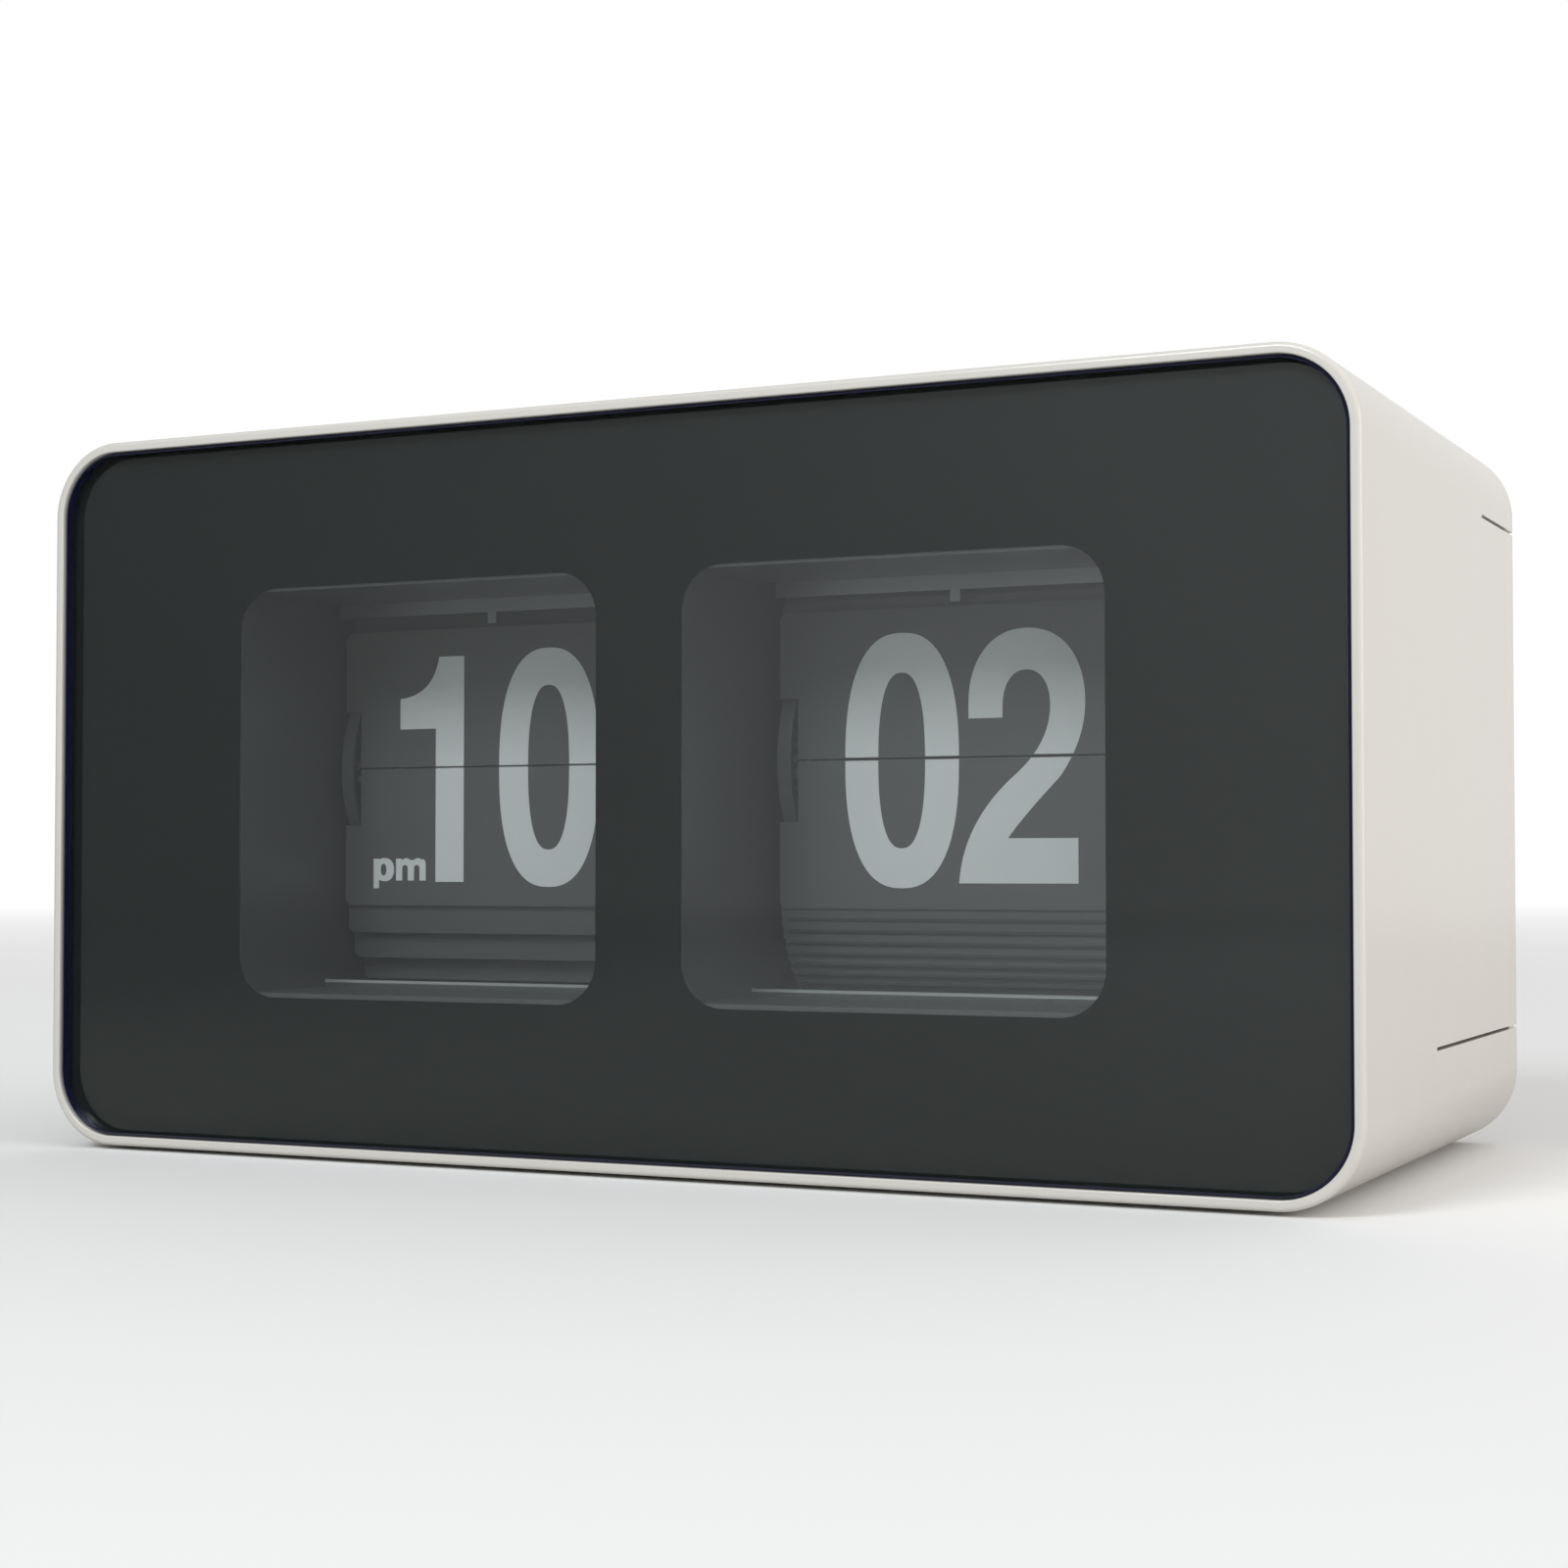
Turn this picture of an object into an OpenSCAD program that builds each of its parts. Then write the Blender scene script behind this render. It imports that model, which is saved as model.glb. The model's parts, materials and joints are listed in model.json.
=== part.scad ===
// Flip number clock: a desk clock that shows hours and minutes on falling leaves.
// +X is the viewer's right, +Y points to the back and +Z is up. Lengths are in millimetres.
// The origin is the middle of the footprint, on the surface that the clock stands on.

/* [Case] */
// Width of the case
body_w = 210; // [206:1:220]
// Height of the clock on its feet
body_h = 111; // [110:0.5:116]
// Depth of the clock, from the front rim to the rear rim
body_d = 100; // [99:0.5:104]
// Radius of the four long outer edges
corner_r = 11.5; // [10:0.5:13]
// Thickness of the case wall
wall = 2.4; // [2.2:0.1:2.6]
// Thickness of the rear cover at its rim
cover_t = 3.9; // [3.7:0.1:4.3]
// Height that the rubber feet stand proud of the underside
foot_proud = 0.6; // [0.4:0.1:1.5]

/* [Front] */
// Width of the bare case rim around the front panel
rim_w = 1.5; // [1.2:0.1:2]
// Depth of the panel's face below the rim
recess = 0.45; // [0.3:0.05:0.8]
// Thickness of the clear front panel
lens_t = 2; // [1.5:0.25:2.25]
// Width of each window
window_w = 63.2; // [62:0.2:64]
// Height of each window
window_h = 62.6; // [61:0.2:64]
// Corner radius of each window
window_r = 6.5; // [4:0.5:9]
// Distance of each window's middle from the clock's middle
window_x = 38.6; // [38:0.2:39.4]
// Height of the windows' middle
window_z = 55.5; // [54:0.5:57]

/* [Drums and leaves] */
// Distance of each drum's middle from the clock's middle
drum_x = 39.4; // [39:0.2:39.6]
// Height of the drum axle, which is also the height of the split between leaf halves
drum_z = 60; // [58:0.5:62]
// Depth of the shown leaves behind the front rim
leaf_depth = 28.05; // [27:0.05:29]
// Radius of the circle of leaf pivots
pivot_r = 17; // [16.6:0.1:17.4]
// Length of a leaf from the split line to its free edge
leaf_len = 22.1; // [20:0.1:23]
// Half width of a leaf beyond its neck
leaf_hw = 29.5; // [28.5:0.1:29.8]
// Half width of a leaf's neck, which fits between the drum discs
neck_hw = 26.5; // [26:0.1:26.6]
// Thickness of a leaf
leaf_t = 0.2; // [0.15:0.01:0.22]
// Number of minute leaves
minute_n = 60; // [60:60]
// Number of hour leaves
hour_n = 24; // [24:24]

/* [Gears] */
// Module of the motor, minute, setting and transfer wheels
gear_m = 0.5; // [0.5:0.5]
// Teeth of the minute gear and of the transfer wheel
big_teeth = 72; // [72:72]
// Teeth of the motor pinion and of the minute pinion
small_teeth = 12; // [12:12]
// Teeth of the setting gear
set_teeth = 48; // [48:48]
// Module of the hour gear and its pinion
hour_m = 0.56; // [0.56:0.56]
// Teeth of the hour gear
hour_teeth = 60; // [60:60]
// Teeth of the transfer pinion
transfer_teeth = 15; // [15:15]
// Radius of the setting thumbwheel
thumb_r = 24.3; // [23.5:0.1:24.3]

/* [Battery] */
// Diameter of the cell
cell_d = 26.2; // [24:0.2:26.2]
// Length of the cell with its button
cell_len = 50; // [49:0.5:50]

/* [Hidden] */
$fn = 48;

// Fits
seat = 0.02;        // radial clearance of a piece fixed on a shaft
run = 0.05;         // radial clearance of a running fit
over = 1;           // length by which a cutter passes a face

// Case
y_front = -body_d / 2;
y_back = body_d / 2;
case_bottom = foot_proud;
case_h = body_h - case_bottom;
case_mid_z = case_bottom + case_h / 2;
floor_z = case_bottom + wall;
inner_x = body_w / 2 - wall;
shell_back = y_back - cover_t - 0.1;
slit_w = 0.5;
slit_low_z = 18.8;
slit_high_z = 97;
slit_low_len = body_d / 2 + 5;
slit_high_len = 21;
foot_r = 6;
foot_seat = 0.8;
foot_x = 84;
foot_y = 36;

// Front stack, from the rim inwards
lens_front = y_front + recess;
lens_back = lens_front + lens_t;
mask_t = 0.25;
ledge_front = lens_back + mask_t;
ledge_t = 1.5;
ledge_w = 3.5;
panel_gap = 0.1;
frame_front = ledge_front + 0.05;
flange_t = 1.65;
flange_back = frame_front + flange_t;
tunnel_wall = 1.2;
tunnel_back = y_front + leaf_depth - 2.65;
tunnel_floor = window_z - window_h / 2 + 0.7;
tunnel_roof = window_z + window_h / 2 - 0.4;
tunnel_hw = window_w / 2 - 0.1;
lip_h = 1.1;
lip_t = 1.2;

// Drums: positions in Y and Z
hinge_y = y_front + leaf_depth - 0.05;
show_y = hinge_y + 0.05 + leaf_t / 2;
drum_y = show_y + 0.35 + pivot_r;
split_gap = 0.12;
ear_len = 1.1;
ear_h = 0.8;
corner_cut = 0.8;
disc_r = pivot_r + 2.2;
disc_t = 2.2;
disc_in = neck_hw + 0.4;
disc_out = disc_in + disc_t;
race_in = pivot_r - 0.8;
race_out = pivot_r + 1.65;
race_depth = 1.3;
leaf_lean = 12;
axle_r = 1.5;
sleeve_r = 4;
sleeve_mid_r = 6;
cheek_back = drum_y - sleeve_r - 1;

// Gears: each train turns about one of these axes
mesh = gear_m * (big_teeth + small_teeth) / 2;
arbor_y = drum_y + mesh;
motor_dir = 50;
motor_y = drum_y - mesh * sin(motor_dir);
motor_z = drum_z - mesh * cos(motor_dir);
set_y = drum_y + gear_m * (big_teeth + set_teeth) / 2;
arbor_r = 1;
motor_shaft_r = 0.8;
set_shaft_r = 1.5;
wheel_x = 6.2;
end_gear_x = drum_x + disc_out + 1.5;
end_gear_t = 2;
thumb_x = 80;
thumb_t = 7;

// Chassis
plate_t = 1.5;
base_t = 1.6;
base_top = floor_z + base_t;
base_hd = 38;
plate_in = drum_x + 34.6;
bracket_hw = 1.5;
tab_len = 11;
frame_screw_x = plate_in + 6.5;
frame_screw_z = [22, 90];
chassis_screw_x = 58;
chassis_screw_y = 30;
plate_screw_y = 26;

// Motor unit
motor_x = plate_in + plate_t;
motor_box = [9, 37, 37];
motor_wall = 1.2;
motor_lid_t = 3.5;
motor_low = [motor_x, motor_y - 19.4, 19];
motor_high = motor_low + motor_box + [motor_lid_t, 0, 0];

// Battery bay
bay_x = -(plate_in + plate_t + inner_x) / 2 - 0.1;
bay_hw = 13.7;
cell_y = 31;
bay_low = 24;
spring_h = 4;
cell_low = bay_low + spring_h;
contact_t = 0.3;
bay_high = cell_low + cell_len + contact_t;
bay_wall = 1.2;
bay_front = cell_y - cell_d / 2 - 1;
bay_back = cell_y + cell_d / 2 - 0.8;
lead_r = 0.8;

// Rear cover
cover_front = y_back - cover_t;
cover_face = y_back - 2;
cover_rim = 2;
skirt_t = 1.6;
skirt_len = 6;
slot_hw = thumb_t / 2 + 1;
slot_hh = 16;
vent_n = 7;
vent_pitch = 4.5;
vent_len = 44;

// Battery door: its lower edge is a round barrel, and it tilts about the barrel's axis
door_gap = 0.3;
door_hook_t = 0.8;
door_hw = bay_hw - door_gap;
barrel_r = (cover_face - cover_front) / 2;
barrel_y = cover_front + barrel_r;
barrel_z = bay_low + door_gap + barrel_r;

// Colours of the pieces
case_color = [0.86, 0.84, 0.80];
black = [0.10, 0.11, 0.11];
dark = [0.20, 0.21, 0.22];
steel = [0.70, 0.71, 0.72];
acetal = [0.92, 0.91, 0.86];
contact_color = [0.80, 0.78, 0.70];

// ---------- shared shapes ----------

// Flat rectangle with round corners, centred
module rounded(w, h, r) {
    square([w - 2 * r, h], center = true);
    square([w, h - 2 * r], center = true);
    for (sx = [-1, 1], sy = [-1, 1])
        translate([sx * (w / 2 - r), sy * (h / 2 - r)]) circle(r);
}

// The case's outline, drawn smaller by inset on every side
module outline(inset) {
    translate([0, case_mid_z])
        rounded(body_w - 2 * inset, case_h - 2 * inset, corner_r - inset);
}

// Extrudes a shape drawn in X and Z from y0 to y1
module along_y(y0, y1) {
    translate([0, y1, 0]) rotate([90, 0, 0]) linear_extrude(y1 - y0) children();
}

// Extrudes a shape drawn in Y and Z from x0 to x1
module along_x(x0, x1) {
    translate([x0, 0, 0]) rotate([90, 0, 90]) linear_extrude(x1 - x0) children();
}

// Box between two corners
module block(low, high) {
    translate(low) cube(high - low);
}

// Tube or rod along X about the point (y, z)
module tube(x0, x1, r, bore, y, z) {
    along_x(x0, x1) translate([y, z]) difference() {
        circle(r);
        if (bore > 0) circle(bore);
    }
}

// Upright screw with a slotted head below: head from z0, shank up to z1
module screw_up(x, y, z0, z1, r, head_r, head_t) {
    translate([x, y, z0]) difference() {
        union() {
            cylinder(h = head_t, r = head_r);
            cylinder(h = z1 - z0, r = r);
        }
        translate([-head_r - over, -0.3, -over]) cube([2 * (head_r + over), 0.6, over + 0.5]);
    }
}

// Outline of a gear with straight-sided teeth; one tooth points at angle phase
function gear_points(teeth, m, phase) = [
    for (i = [0:teeth - 1], k = [0:3])
        let (step = 360 / teeth,
             r = m * teeth / 2 + (k == 1 || k == 2 ? 0.8 : -1.15) * m,
             half = (k == 0 || k == 3) ? 0.25 : 0.10,
             a = phase + step * (i + (k < 2 ? -half : half)))
        r * [cos(a), sin(a)]];

module gear_flat(teeth, m, phase, bore) {
    difference() {
        polygon(gear_points(teeth, m, phase));
        circle(bore);
    }
}

// Ring of round holes that lightens a wheel
module web_holes(count, ring, r) {
    for (i = [0:count - 1]) rotate(i * 360 / count) translate([ring, 0]) circle(r);
}

// ---------- case ----------

module mirrored_x() {
    children();
    mirror([1, 0, 0]) children();
}

module slits(x0, x1, y1) {
    block([x0, y1 - slit_low_len, slit_low_z - slit_w / 2], [x1, y1 + over, slit_low_z + slit_w / 2]);
    block([x0, y1 - slit_high_len, slit_high_z - slit_w / 2], [x1, y1 + over, slit_high_z + slit_w / 2]);
}

module housing_shell() color(case_color) difference() {
    along_y(y_front, shell_back) outline(0);
    along_y(y_front - over, ledge_front) outline(rim_w);
    along_y(ledge_front - over, ledge_front + ledge_t + over) outline(rim_w + ledge_w);
    along_y(ledge_front + ledge_t, shell_back + over) outline(wall);
    mirrored_x() slits(inner_x - over, body_w / 2 + over, shell_back);
    for (sx = [-1, 1], sy = [-1, 1]) {
        translate([sx * foot_x, sy * foot_y, case_bottom - over])
            cylinder(h = over + foot_seat, r = foot_r + 0.1);
        translate([sx * chassis_screw_x, sy * chassis_screw_y, case_bottom - over]) {
            cylinder(h = over + 1.3, r = 2.9);
            cylinder(h = over + wall + over, r = 1.5);
        }
    }
}

module rubber_feet() color([0.12, 0.12, 0.12])
    for (sx = [-1, 1], sy = [-1, 1])
        translate([sx * foot_x, sy * foot_y, 0]) cylinder(h = foot_proud + foot_seat, r = foot_r);

module chassis_screws() color(steel)
    for (sx = [-1, 1], sy = [-1, 1])
        screw_up(sx * chassis_screw_x, sy * chassis_screw_y, case_bottom + 0.1, base_top + 0.8,
                 1.25, 2.6, 1.2);

// ---------- front ----------

module windows() {
    for (s = [-1, 1]) translate([s * window_x, window_z]) rounded(window_w, window_h, window_r);
}

module front_lens() color([0.75, 0.80, 0.85, 0.35])
    along_y(lens_front, lens_back) outline(rim_w + panel_gap);

module front_mask() color(black)
    along_y(lens_back, ledge_front) difference() {
        outline(rim_w + panel_gap);
        windows();
    }

// Cross-section of one tunnel, grown by extra on every side
module tunnel_section(side, extra) {
    translate([side * window_x - tunnel_hw - extra, tunnel_floor - extra])
        square([2 * (tunnel_hw + extra), tunnel_roof - tunnel_floor + 2 * extra]);
}

// Left wall of one tunnel, carried back past the end of the leaves to hide the drum behind them
module tunnel_cheek(side) {
    x_wall = side * window_x - tunnel_hw - tunnel_wall;
    block([x_wall, frame_front, tunnel_floor - tunnel_wall],
          [x_wall + tunnel_wall, cheek_back, tunnel_roof + tunnel_wall]);
}

module display_frame() color(dark) {
    difference() {
        union() {
            along_y(frame_front, flange_back) outline(rim_w + ledge_w + 0.2);
            for (s = [-1, 1]) along_y(frame_front, tunnel_back) tunnel_section(s, tunnel_wall);
            for (s = [-1, 1]) tunnel_cheek(s);
        }
        for (s = [-1, 1]) along_y(frame_front - over, tunnel_back + over) tunnel_section(s, 0);
        for (s = [-1, 1], z = frame_screw_z)
            along_y(frame_front - over, flange_back + over) translate([s * frame_screw_x, z]) circle(1.02);
    }
    // Rounded lip on the rear edge of each tunnel's floor
    for (s = [-1, 1])
        along_x(s * window_x - tunnel_hw, s * window_x + tunnel_hw)
            translate([tunnel_back - lip_t, tunnel_floor]) {
                translate([0, -0.2]) square([lip_t, lip_h - lip_t / 2 + 0.2]);
                translate([lip_t / 2, lip_h - lip_t / 2]) circle(lip_t / 2);
            }
}

// Spring strip above the leaves, with the catch nose in its middle
module leaf_retainer(side) {
    y0 = tunnel_back + 0.1;
    strip_t = 0.5;
    strip_low = drum_z + 24.2;
    strip_hw = leaf_hw - 0.5;
    translate([side * drum_x, 0, 0]) {
        block([-strip_hw, y0, strip_low], [strip_hw, y0 + strip_t, tunnel_roof + 4]);
        block([-0.8, y0, drum_z + leaf_len + 0.35], [0.8, y0 + strip_t, strip_low + 0.1]);
        for (s = [-1, 1])
            block([s * 20 - 4, tunnel_back - 9, tunnel_roof + tunnel_wall],
                  [s * 20 + 4, y0 + strip_t, tunnel_roof + tunnel_wall + strip_t]);
    }
}

module minute_leaf_retainer() color(steel) leaf_retainer(1);
module hour_leaf_retainer() color(steel) leaf_retainer(-1);

// ---------- leaves ----------

// Flat leaf: across is X, the free edge points away from the split line.
// ear_at is where the two pivot ears start.
module leaf_flat(ear_at) {
    ear_hw = neck_hw + ear_len;
    neck_len = 9.2;
    right = [[neck_hw, split_gap], [neck_hw, ear_at], [ear_hw, ear_at], [ear_hw, ear_at + ear_h],
        [neck_hw, ear_at + ear_h], [neck_hw, neck_len], [leaf_hw, neck_len],
        [leaf_hw, leaf_len - corner_cut], [leaf_hw - corner_cut, leaf_len]];
    left = [for (i = [len(right) - 1:-1:0]) [-right[i].x, right[i].y]];
    polygon(concat(right, left));
}

// Leaf standing at a point in Y and Z; angle 90 points up and -90 points down
module leaf(side, y, z, angle, ear_at) {
    translate([side * drum_x, y, z]) rotate([180 - angle, 0, 0])
        linear_extrude(leaf_t, center = true) leaf_flat(ear_at);
}

// Direction of a waiting leaf whose pivot is at angle t round the drum, from the front:
// the upper leaves stand at the front and lie further back towards the rear, where they hang
function standing_angle(t) = 90 + t / 2 - leaf_lean * sin(t) + 90 * pow(t / 180, 3);
function leaf_angle(t) = t < 0 ? -90 : standing_angle(t);

// All leaves that wait behind the shown pair, and the lower leaf of the shown pair
module leaf_pack(side, count) {
    step = 360 / count;
    for (s = [-1, 1], k = [1:count / 2 - 1])
        let (t = s * k * step)
            leaf(side, drum_y - pivot_r * cos(t), drum_z + pivot_r * sin(t), leaf_angle(t), split_gap);
    leaf(side, show_y, drum_z, -90, 1.2);
}

// The upper leaf of the shown pair, with round pivots on the hinge axis
module front_leaf(side) {
    pin_r = 0.3;
    leaf(side, show_y, drum_z, 90, split_gap);
    for (s = [-1, 1])
        tube(side * drum_x + s * (neck_hw + ear_len / 2 + 0.05) - ear_len / 2 + 0.05,
             side * drum_x + s * (neck_hw + ear_len / 2 + 0.05) + ear_len / 2 - 0.05,
             pin_r, 0, hinge_y, drum_z);
}

module minute_leaves() color(dark) leaf_pack(1, minute_n);
module hour_leaves() color(dark) leaf_pack(-1, hour_n);
module minute_front_leaf() color(dark) front_leaf(1);
module hour_front_leaf() color(dark) front_leaf(-1);

// ---------- drums ----------

// Side disc with the annular race that carries the leaf ears; dir is the side of its inner face
module drum_disc(x_inner, dir) {
    x_outer = x_inner + dir * disc_t;
    difference() {
        along_x(min(x_inner, x_outer), max(x_inner, x_outer)) translate([drum_y, drum_z]) difference() {
            circle(disc_r);
            circle(sleeve_r + seat);
            web_holes(6, 10.6, 3);
        }
        x_race = x_inner + dir * race_depth;
        along_x(min(x_inner - dir * over, x_race), max(x_inner - dir * over, x_race))
            translate([drum_y, drum_z]) difference() {
                circle(race_out);
                circle(race_in);
            }
    }
}

module minute_disc_left() color(dark) drum_disc(drum_x - disc_in, -1);
module minute_disc_right() color(dark) drum_disc(drum_x + disc_in, 1);
module hour_disc_left() color(dark) drum_disc(-drum_x - disc_in, -1);
module hour_disc_right() color(dark) drum_disc(-drum_x + disc_in, 1);

module minute_sleeve() color(acetal) {
    tube(drum_x - disc_out, end_gear_x + end_gear_t + 1, sleeve_r, axle_r + run, drum_y, drum_z);
    tube(drum_x - disc_in, drum_x + disc_in, sleeve_mid_r, sleeve_r - 0.5, drum_y, drum_z);
}

module hour_sleeve() color(acetal) {
    tube(-plate_in + 1, -wheel_x, sleeve_r, axle_r + run, drum_y, drum_z);
    tube(-drum_x - disc_in, -drum_x + disc_in, sleeve_mid_r, sleeve_r - 0.5, drum_y, drum_z);
}

// A tooth of the minute pinion points at the transfer arbor
module minute_pinion() color(acetal) {
    along_x(wheel_x - 1, drum_x - disc_out - 1) translate([drum_y, drum_z])
        gear_flat(small_teeth, gear_m, 0, axle_r + run);
    tube(drum_x - disc_out - 1.1, drum_x - disc_out, 5.5, axle_r + run, drum_y, drum_z);
}

// A tooth of the minute gear points straight back, at the setting gear
module minute_gear() color(acetal) {
    along_x(end_gear_x, end_gear_x + end_gear_t) translate([drum_y, drum_z]) difference() {
        gear_flat(big_teeth, gear_m, 0, sleeve_r + seat);
        web_holes(5, 11.5, 3);
    }
    tube(drum_x + disc_out, end_gear_x, 8, sleeve_r + seat, drum_y, drum_z);
}

// A tooth of the hour gear points straight back, at the transfer pinion
module hour_gear() color(acetal) {
    along_x(-wheel_x - 2.3, -wheel_x - 0.1) translate([drum_y, drum_z]) difference() {
        gear_flat(hour_teeth, hour_m, 0, sleeve_r + seat);
        web_holes(5, 11, 3);
    }
    tube(-drum_x + disc_out, -wheel_x - 2.2, 8, sleeve_r + seat, drum_y, drum_z);
}

module drum_axle() color(steel)
    tube(-plate_in - plate_t - 1.8, plate_in + plate_t + 1.8, axle_r, 0, drum_y, drum_z);

module axle_clips() color(steel)
    for (s = [-1, 1])
        tube(s * (plate_in + plate_t + 0.5) - 0.4, s * (plate_in + plate_t + 0.5) + 0.4,
             3.4, axle_r + seat, drum_y, drum_z);

module axle_spacers() color(acetal)
    for (s = [-1, 1])
        tube(s * 3.3 - 1.7, s * 3.3 + 1.7, 2.8, axle_r + seat, drum_y, drum_z);

// ---------- gear trains ----------

module transfer_arbor() color(steel)
    tube(-wheel_x - 3.2, wheel_x + 2.6, arbor_r, 0, arbor_y, drum_z);

// A gap of the transfer wheel faces the minute pinion
module transfer_wheel() color(acetal) {
    along_x(wheel_x, wheel_x + 2) translate([arbor_y, drum_z]) difference() {
        gear_flat(big_teeth, gear_m, 180 / big_teeth, arbor_r + seat);
        web_holes(5, 11, 3.5);
    }
    tube(wheel_x - 2.2, wheel_x, 4, arbor_r + seat, arbor_y, drum_z);
}

// A gap of the transfer pinion faces the hour gear
module transfer_pinion() color(acetal)
    along_x(-wheel_x - 2.8, -wheel_x + 0.4) translate([arbor_y, drum_z])
        gear_flat(transfer_teeth, hour_m, 180 + 180 / transfer_teeth, arbor_r + seat);

module motor_shaft() color(steel)
    tube(end_gear_x - 0.4, motor_x + 6, motor_shaft_r, 0, motor_y, motor_z);

// The motor pinion's phase puts one of its gaps on a tooth of the minute gear
module motor_pinion() color([0.80, 0.66, 0.36]) {
    // Direction from the drum to the motor, and the nearest tooth of the minute gear
    toward = atan2(motor_z - drum_z, motor_y - drum_y);
    step = 360 / big_teeth;
    off = toward - step * round(toward / step);
    along_x(end_gear_x - 0.3, end_gear_x + end_gear_t + 0.3) translate([motor_y, motor_z])
        gear_flat(small_teeth, gear_m,
                  toward + 180 + 180 / small_teeth + off * big_teeth / small_teeth,
                  motor_shaft_r + seat);
}

module set_shaft() color(steel)
    tube(end_gear_x - 0.5, thumb_x + thumb_t + 1.5, set_shaft_r, 0, set_y, drum_z);

module set_bush() color(acetal)
    tube(motor_x, thumb_x - 1, 4, set_shaft_r + run, set_y, drum_z);

// A gap of the setting gear faces the minute gear
module set_gear() color(acetal) {
    along_x(end_gear_x, end_gear_x + end_gear_t) translate([set_y, drum_z]) difference() {
        gear_flat(set_teeth, gear_m, 180 / set_teeth, set_shaft_r + seat);
        web_holes(5, 7.4, 2.2);
    }
    tube(end_gear_x + end_gear_t, end_gear_x + end_gear_t + 1.2, 4, set_shaft_r + seat, set_y, drum_z);
}

module set_thumbwheel() color(black) {
    ridges = 60;
    ridge_h = 0.6;
    rim = [for (i = [0:ridges * 4 - 1])
        (thumb_r - (i % 4 < 2 ? 0 : ridge_h)) * [cos(i * 90 / ridges), sin(i * 90 / ridges)]];
    along_x(thumb_x, thumb_x + thumb_t) translate([set_y, drum_z]) difference() {
        polygon(rim);
        circle(set_shaft_r + seat);
        web_holes(6, 13.5, 4.5);
    }
    tube(thumb_x - 0.7, thumb_x, 4.5, set_shaft_r + seat, set_y, drum_z);
}

// ---------- chassis ----------

// Side plate's flat shape in Y and Z, without its holes
module plate_shape() {
    front = flange_back;
    polygon([[front, 14], [front + 7, base_top], [base_hd, base_top], [base_hd, 52], [30, 76],
        [8, 100], [front, 100]]);
}

// Side plate with its foot and its front tabs; x0 is its inner face on the right-hand side
module side_plate(left) {
    tab_back = flange_back + plate_t;
    along_x(plate_in, plate_in + plate_t) difference() {
        plate_shape();
        translate([drum_y, drum_z]) circle(axle_r + seat);
        if (!left) {
            translate([motor_y, motor_z]) circle(4);
            translate([set_y, drum_z]) circle(set_shaft_r + run);
        }
        translate([0, 26]) circle(8);
        translate([drum_y, 84]) circle(7);
    }
    for (z = frame_screw_z)
        difference() {
            block([plate_in, flange_back, z - 6], [plate_in + tab_len, tab_back, z + 6]);
            along_y(flange_back - over, tab_back + over) translate([frame_screw_x, z]) circle(1.3);
        }
    for (sy = [-1, 1])
        difference() {
            block([plate_in - 9, sy * plate_screw_y - 5, base_top],
                  [plate_in + 0.5, sy * plate_screw_y + 5, base_top + plate_t]);
            translate([plate_in - 5, sy * plate_screw_y, base_top - over])
                cylinder(h = plate_t + 2 * over, r = 1.3);
        }
}

module side_plate_right() color(steel) side_plate(false);
module side_plate_left() color(steel) mirror([1, 0, 0]) side_plate(true);

module centre_bracket() color(steel) {
    along_x(-bracket_hw, bracket_hw) difference() {
        union() {
            polygon([[-16, base_top], [30, base_top], [22, 60], [drum_y - 6, 60]]);
            translate([drum_y, drum_z]) circle(6);
            translate([arbor_y, drum_z]) circle(5.5);
            translate([drum_y, drum_z - 6]) square([mesh, 11]);
        }
        translate([drum_y, drum_z]) circle(axle_r + seat);
        translate([arbor_y, drum_z]) circle(arbor_r + run);
        translate([8, 26]) circle(9);
    }
    for (y = [-10, 24])
        difference() {
            block([-9, y - 5, base_top], [9, y + 5, base_top + plate_t]);
            for (sx = [-1, 1])
                translate([sx * 5.5, y, base_top - over]) cylinder(h = plate_t + 2 * over, r = 1.3);
        }
}

module base_plate() color(steel) difference() {
    block([-plate_in - plate_t, -base_hd, floor_z], [plate_in + plate_t, base_hd, base_top]);
    for (sx = [-1, 1], sy = [-1, 1])
        translate([sx * chassis_screw_x, sy * chassis_screw_y, floor_z - over])
            cylinder(h = base_t + 2 * over, r = 1.25 + seat);
    for (p = plate_screw_places())
        translate([p.x, p.y, floor_z - over]) cylinder(h = base_t + 2 * over, r = 1.02);
    for (sx = [-1, 1])
        translate([sx * 36, 0, floor_z - over]) cylinder(h = base_t + 2 * over, r = 15);
}

// Places of the screws that hold the side plates and the bracket on the base
function plate_screw_places() = concat(
    [for (sx = [-1, 1], sy = [-1, 1]) [sx * (plate_in - 5), sy * plate_screw_y]],
    [for (sx = [-1, 1], y = [-10, 24]) [sx * 5.5, y]]);

module plate_screws() color(steel)
    for (p = plate_screw_places())
        translate([p.x, p.y, 0]) difference() {
            union() {
                translate([0, 0, floor_z + 0.1]) cylinder(h = base_t + plate_t, r = 1);
                translate([0, 0, base_top + plate_t]) cylinder(h = 1.3, r = 2.2);
            }
            translate([-3, -0.25, base_top + plate_t + 0.7]) cube([6, 0.5, over]);
        }

module frame_screws() color(steel)
    for (s = [-1, 1], z = frame_screw_z) {
        head_y = flange_back + plate_t;
        difference() {
            union() {
                along_y(frame_front + 0.2, head_y + 0.1) translate([s * frame_screw_x, z]) circle(1);
                along_y(head_y, head_y + 1.4) translate([s * frame_screw_x, z]) circle(2.2);
            }
            block([s * frame_screw_x - 3, head_y + 0.8, z - 0.25],
                  [s * frame_screw_x + 3, head_y + 2, z + 0.25]);
        }
    }

// ---------- motor unit ----------

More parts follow.
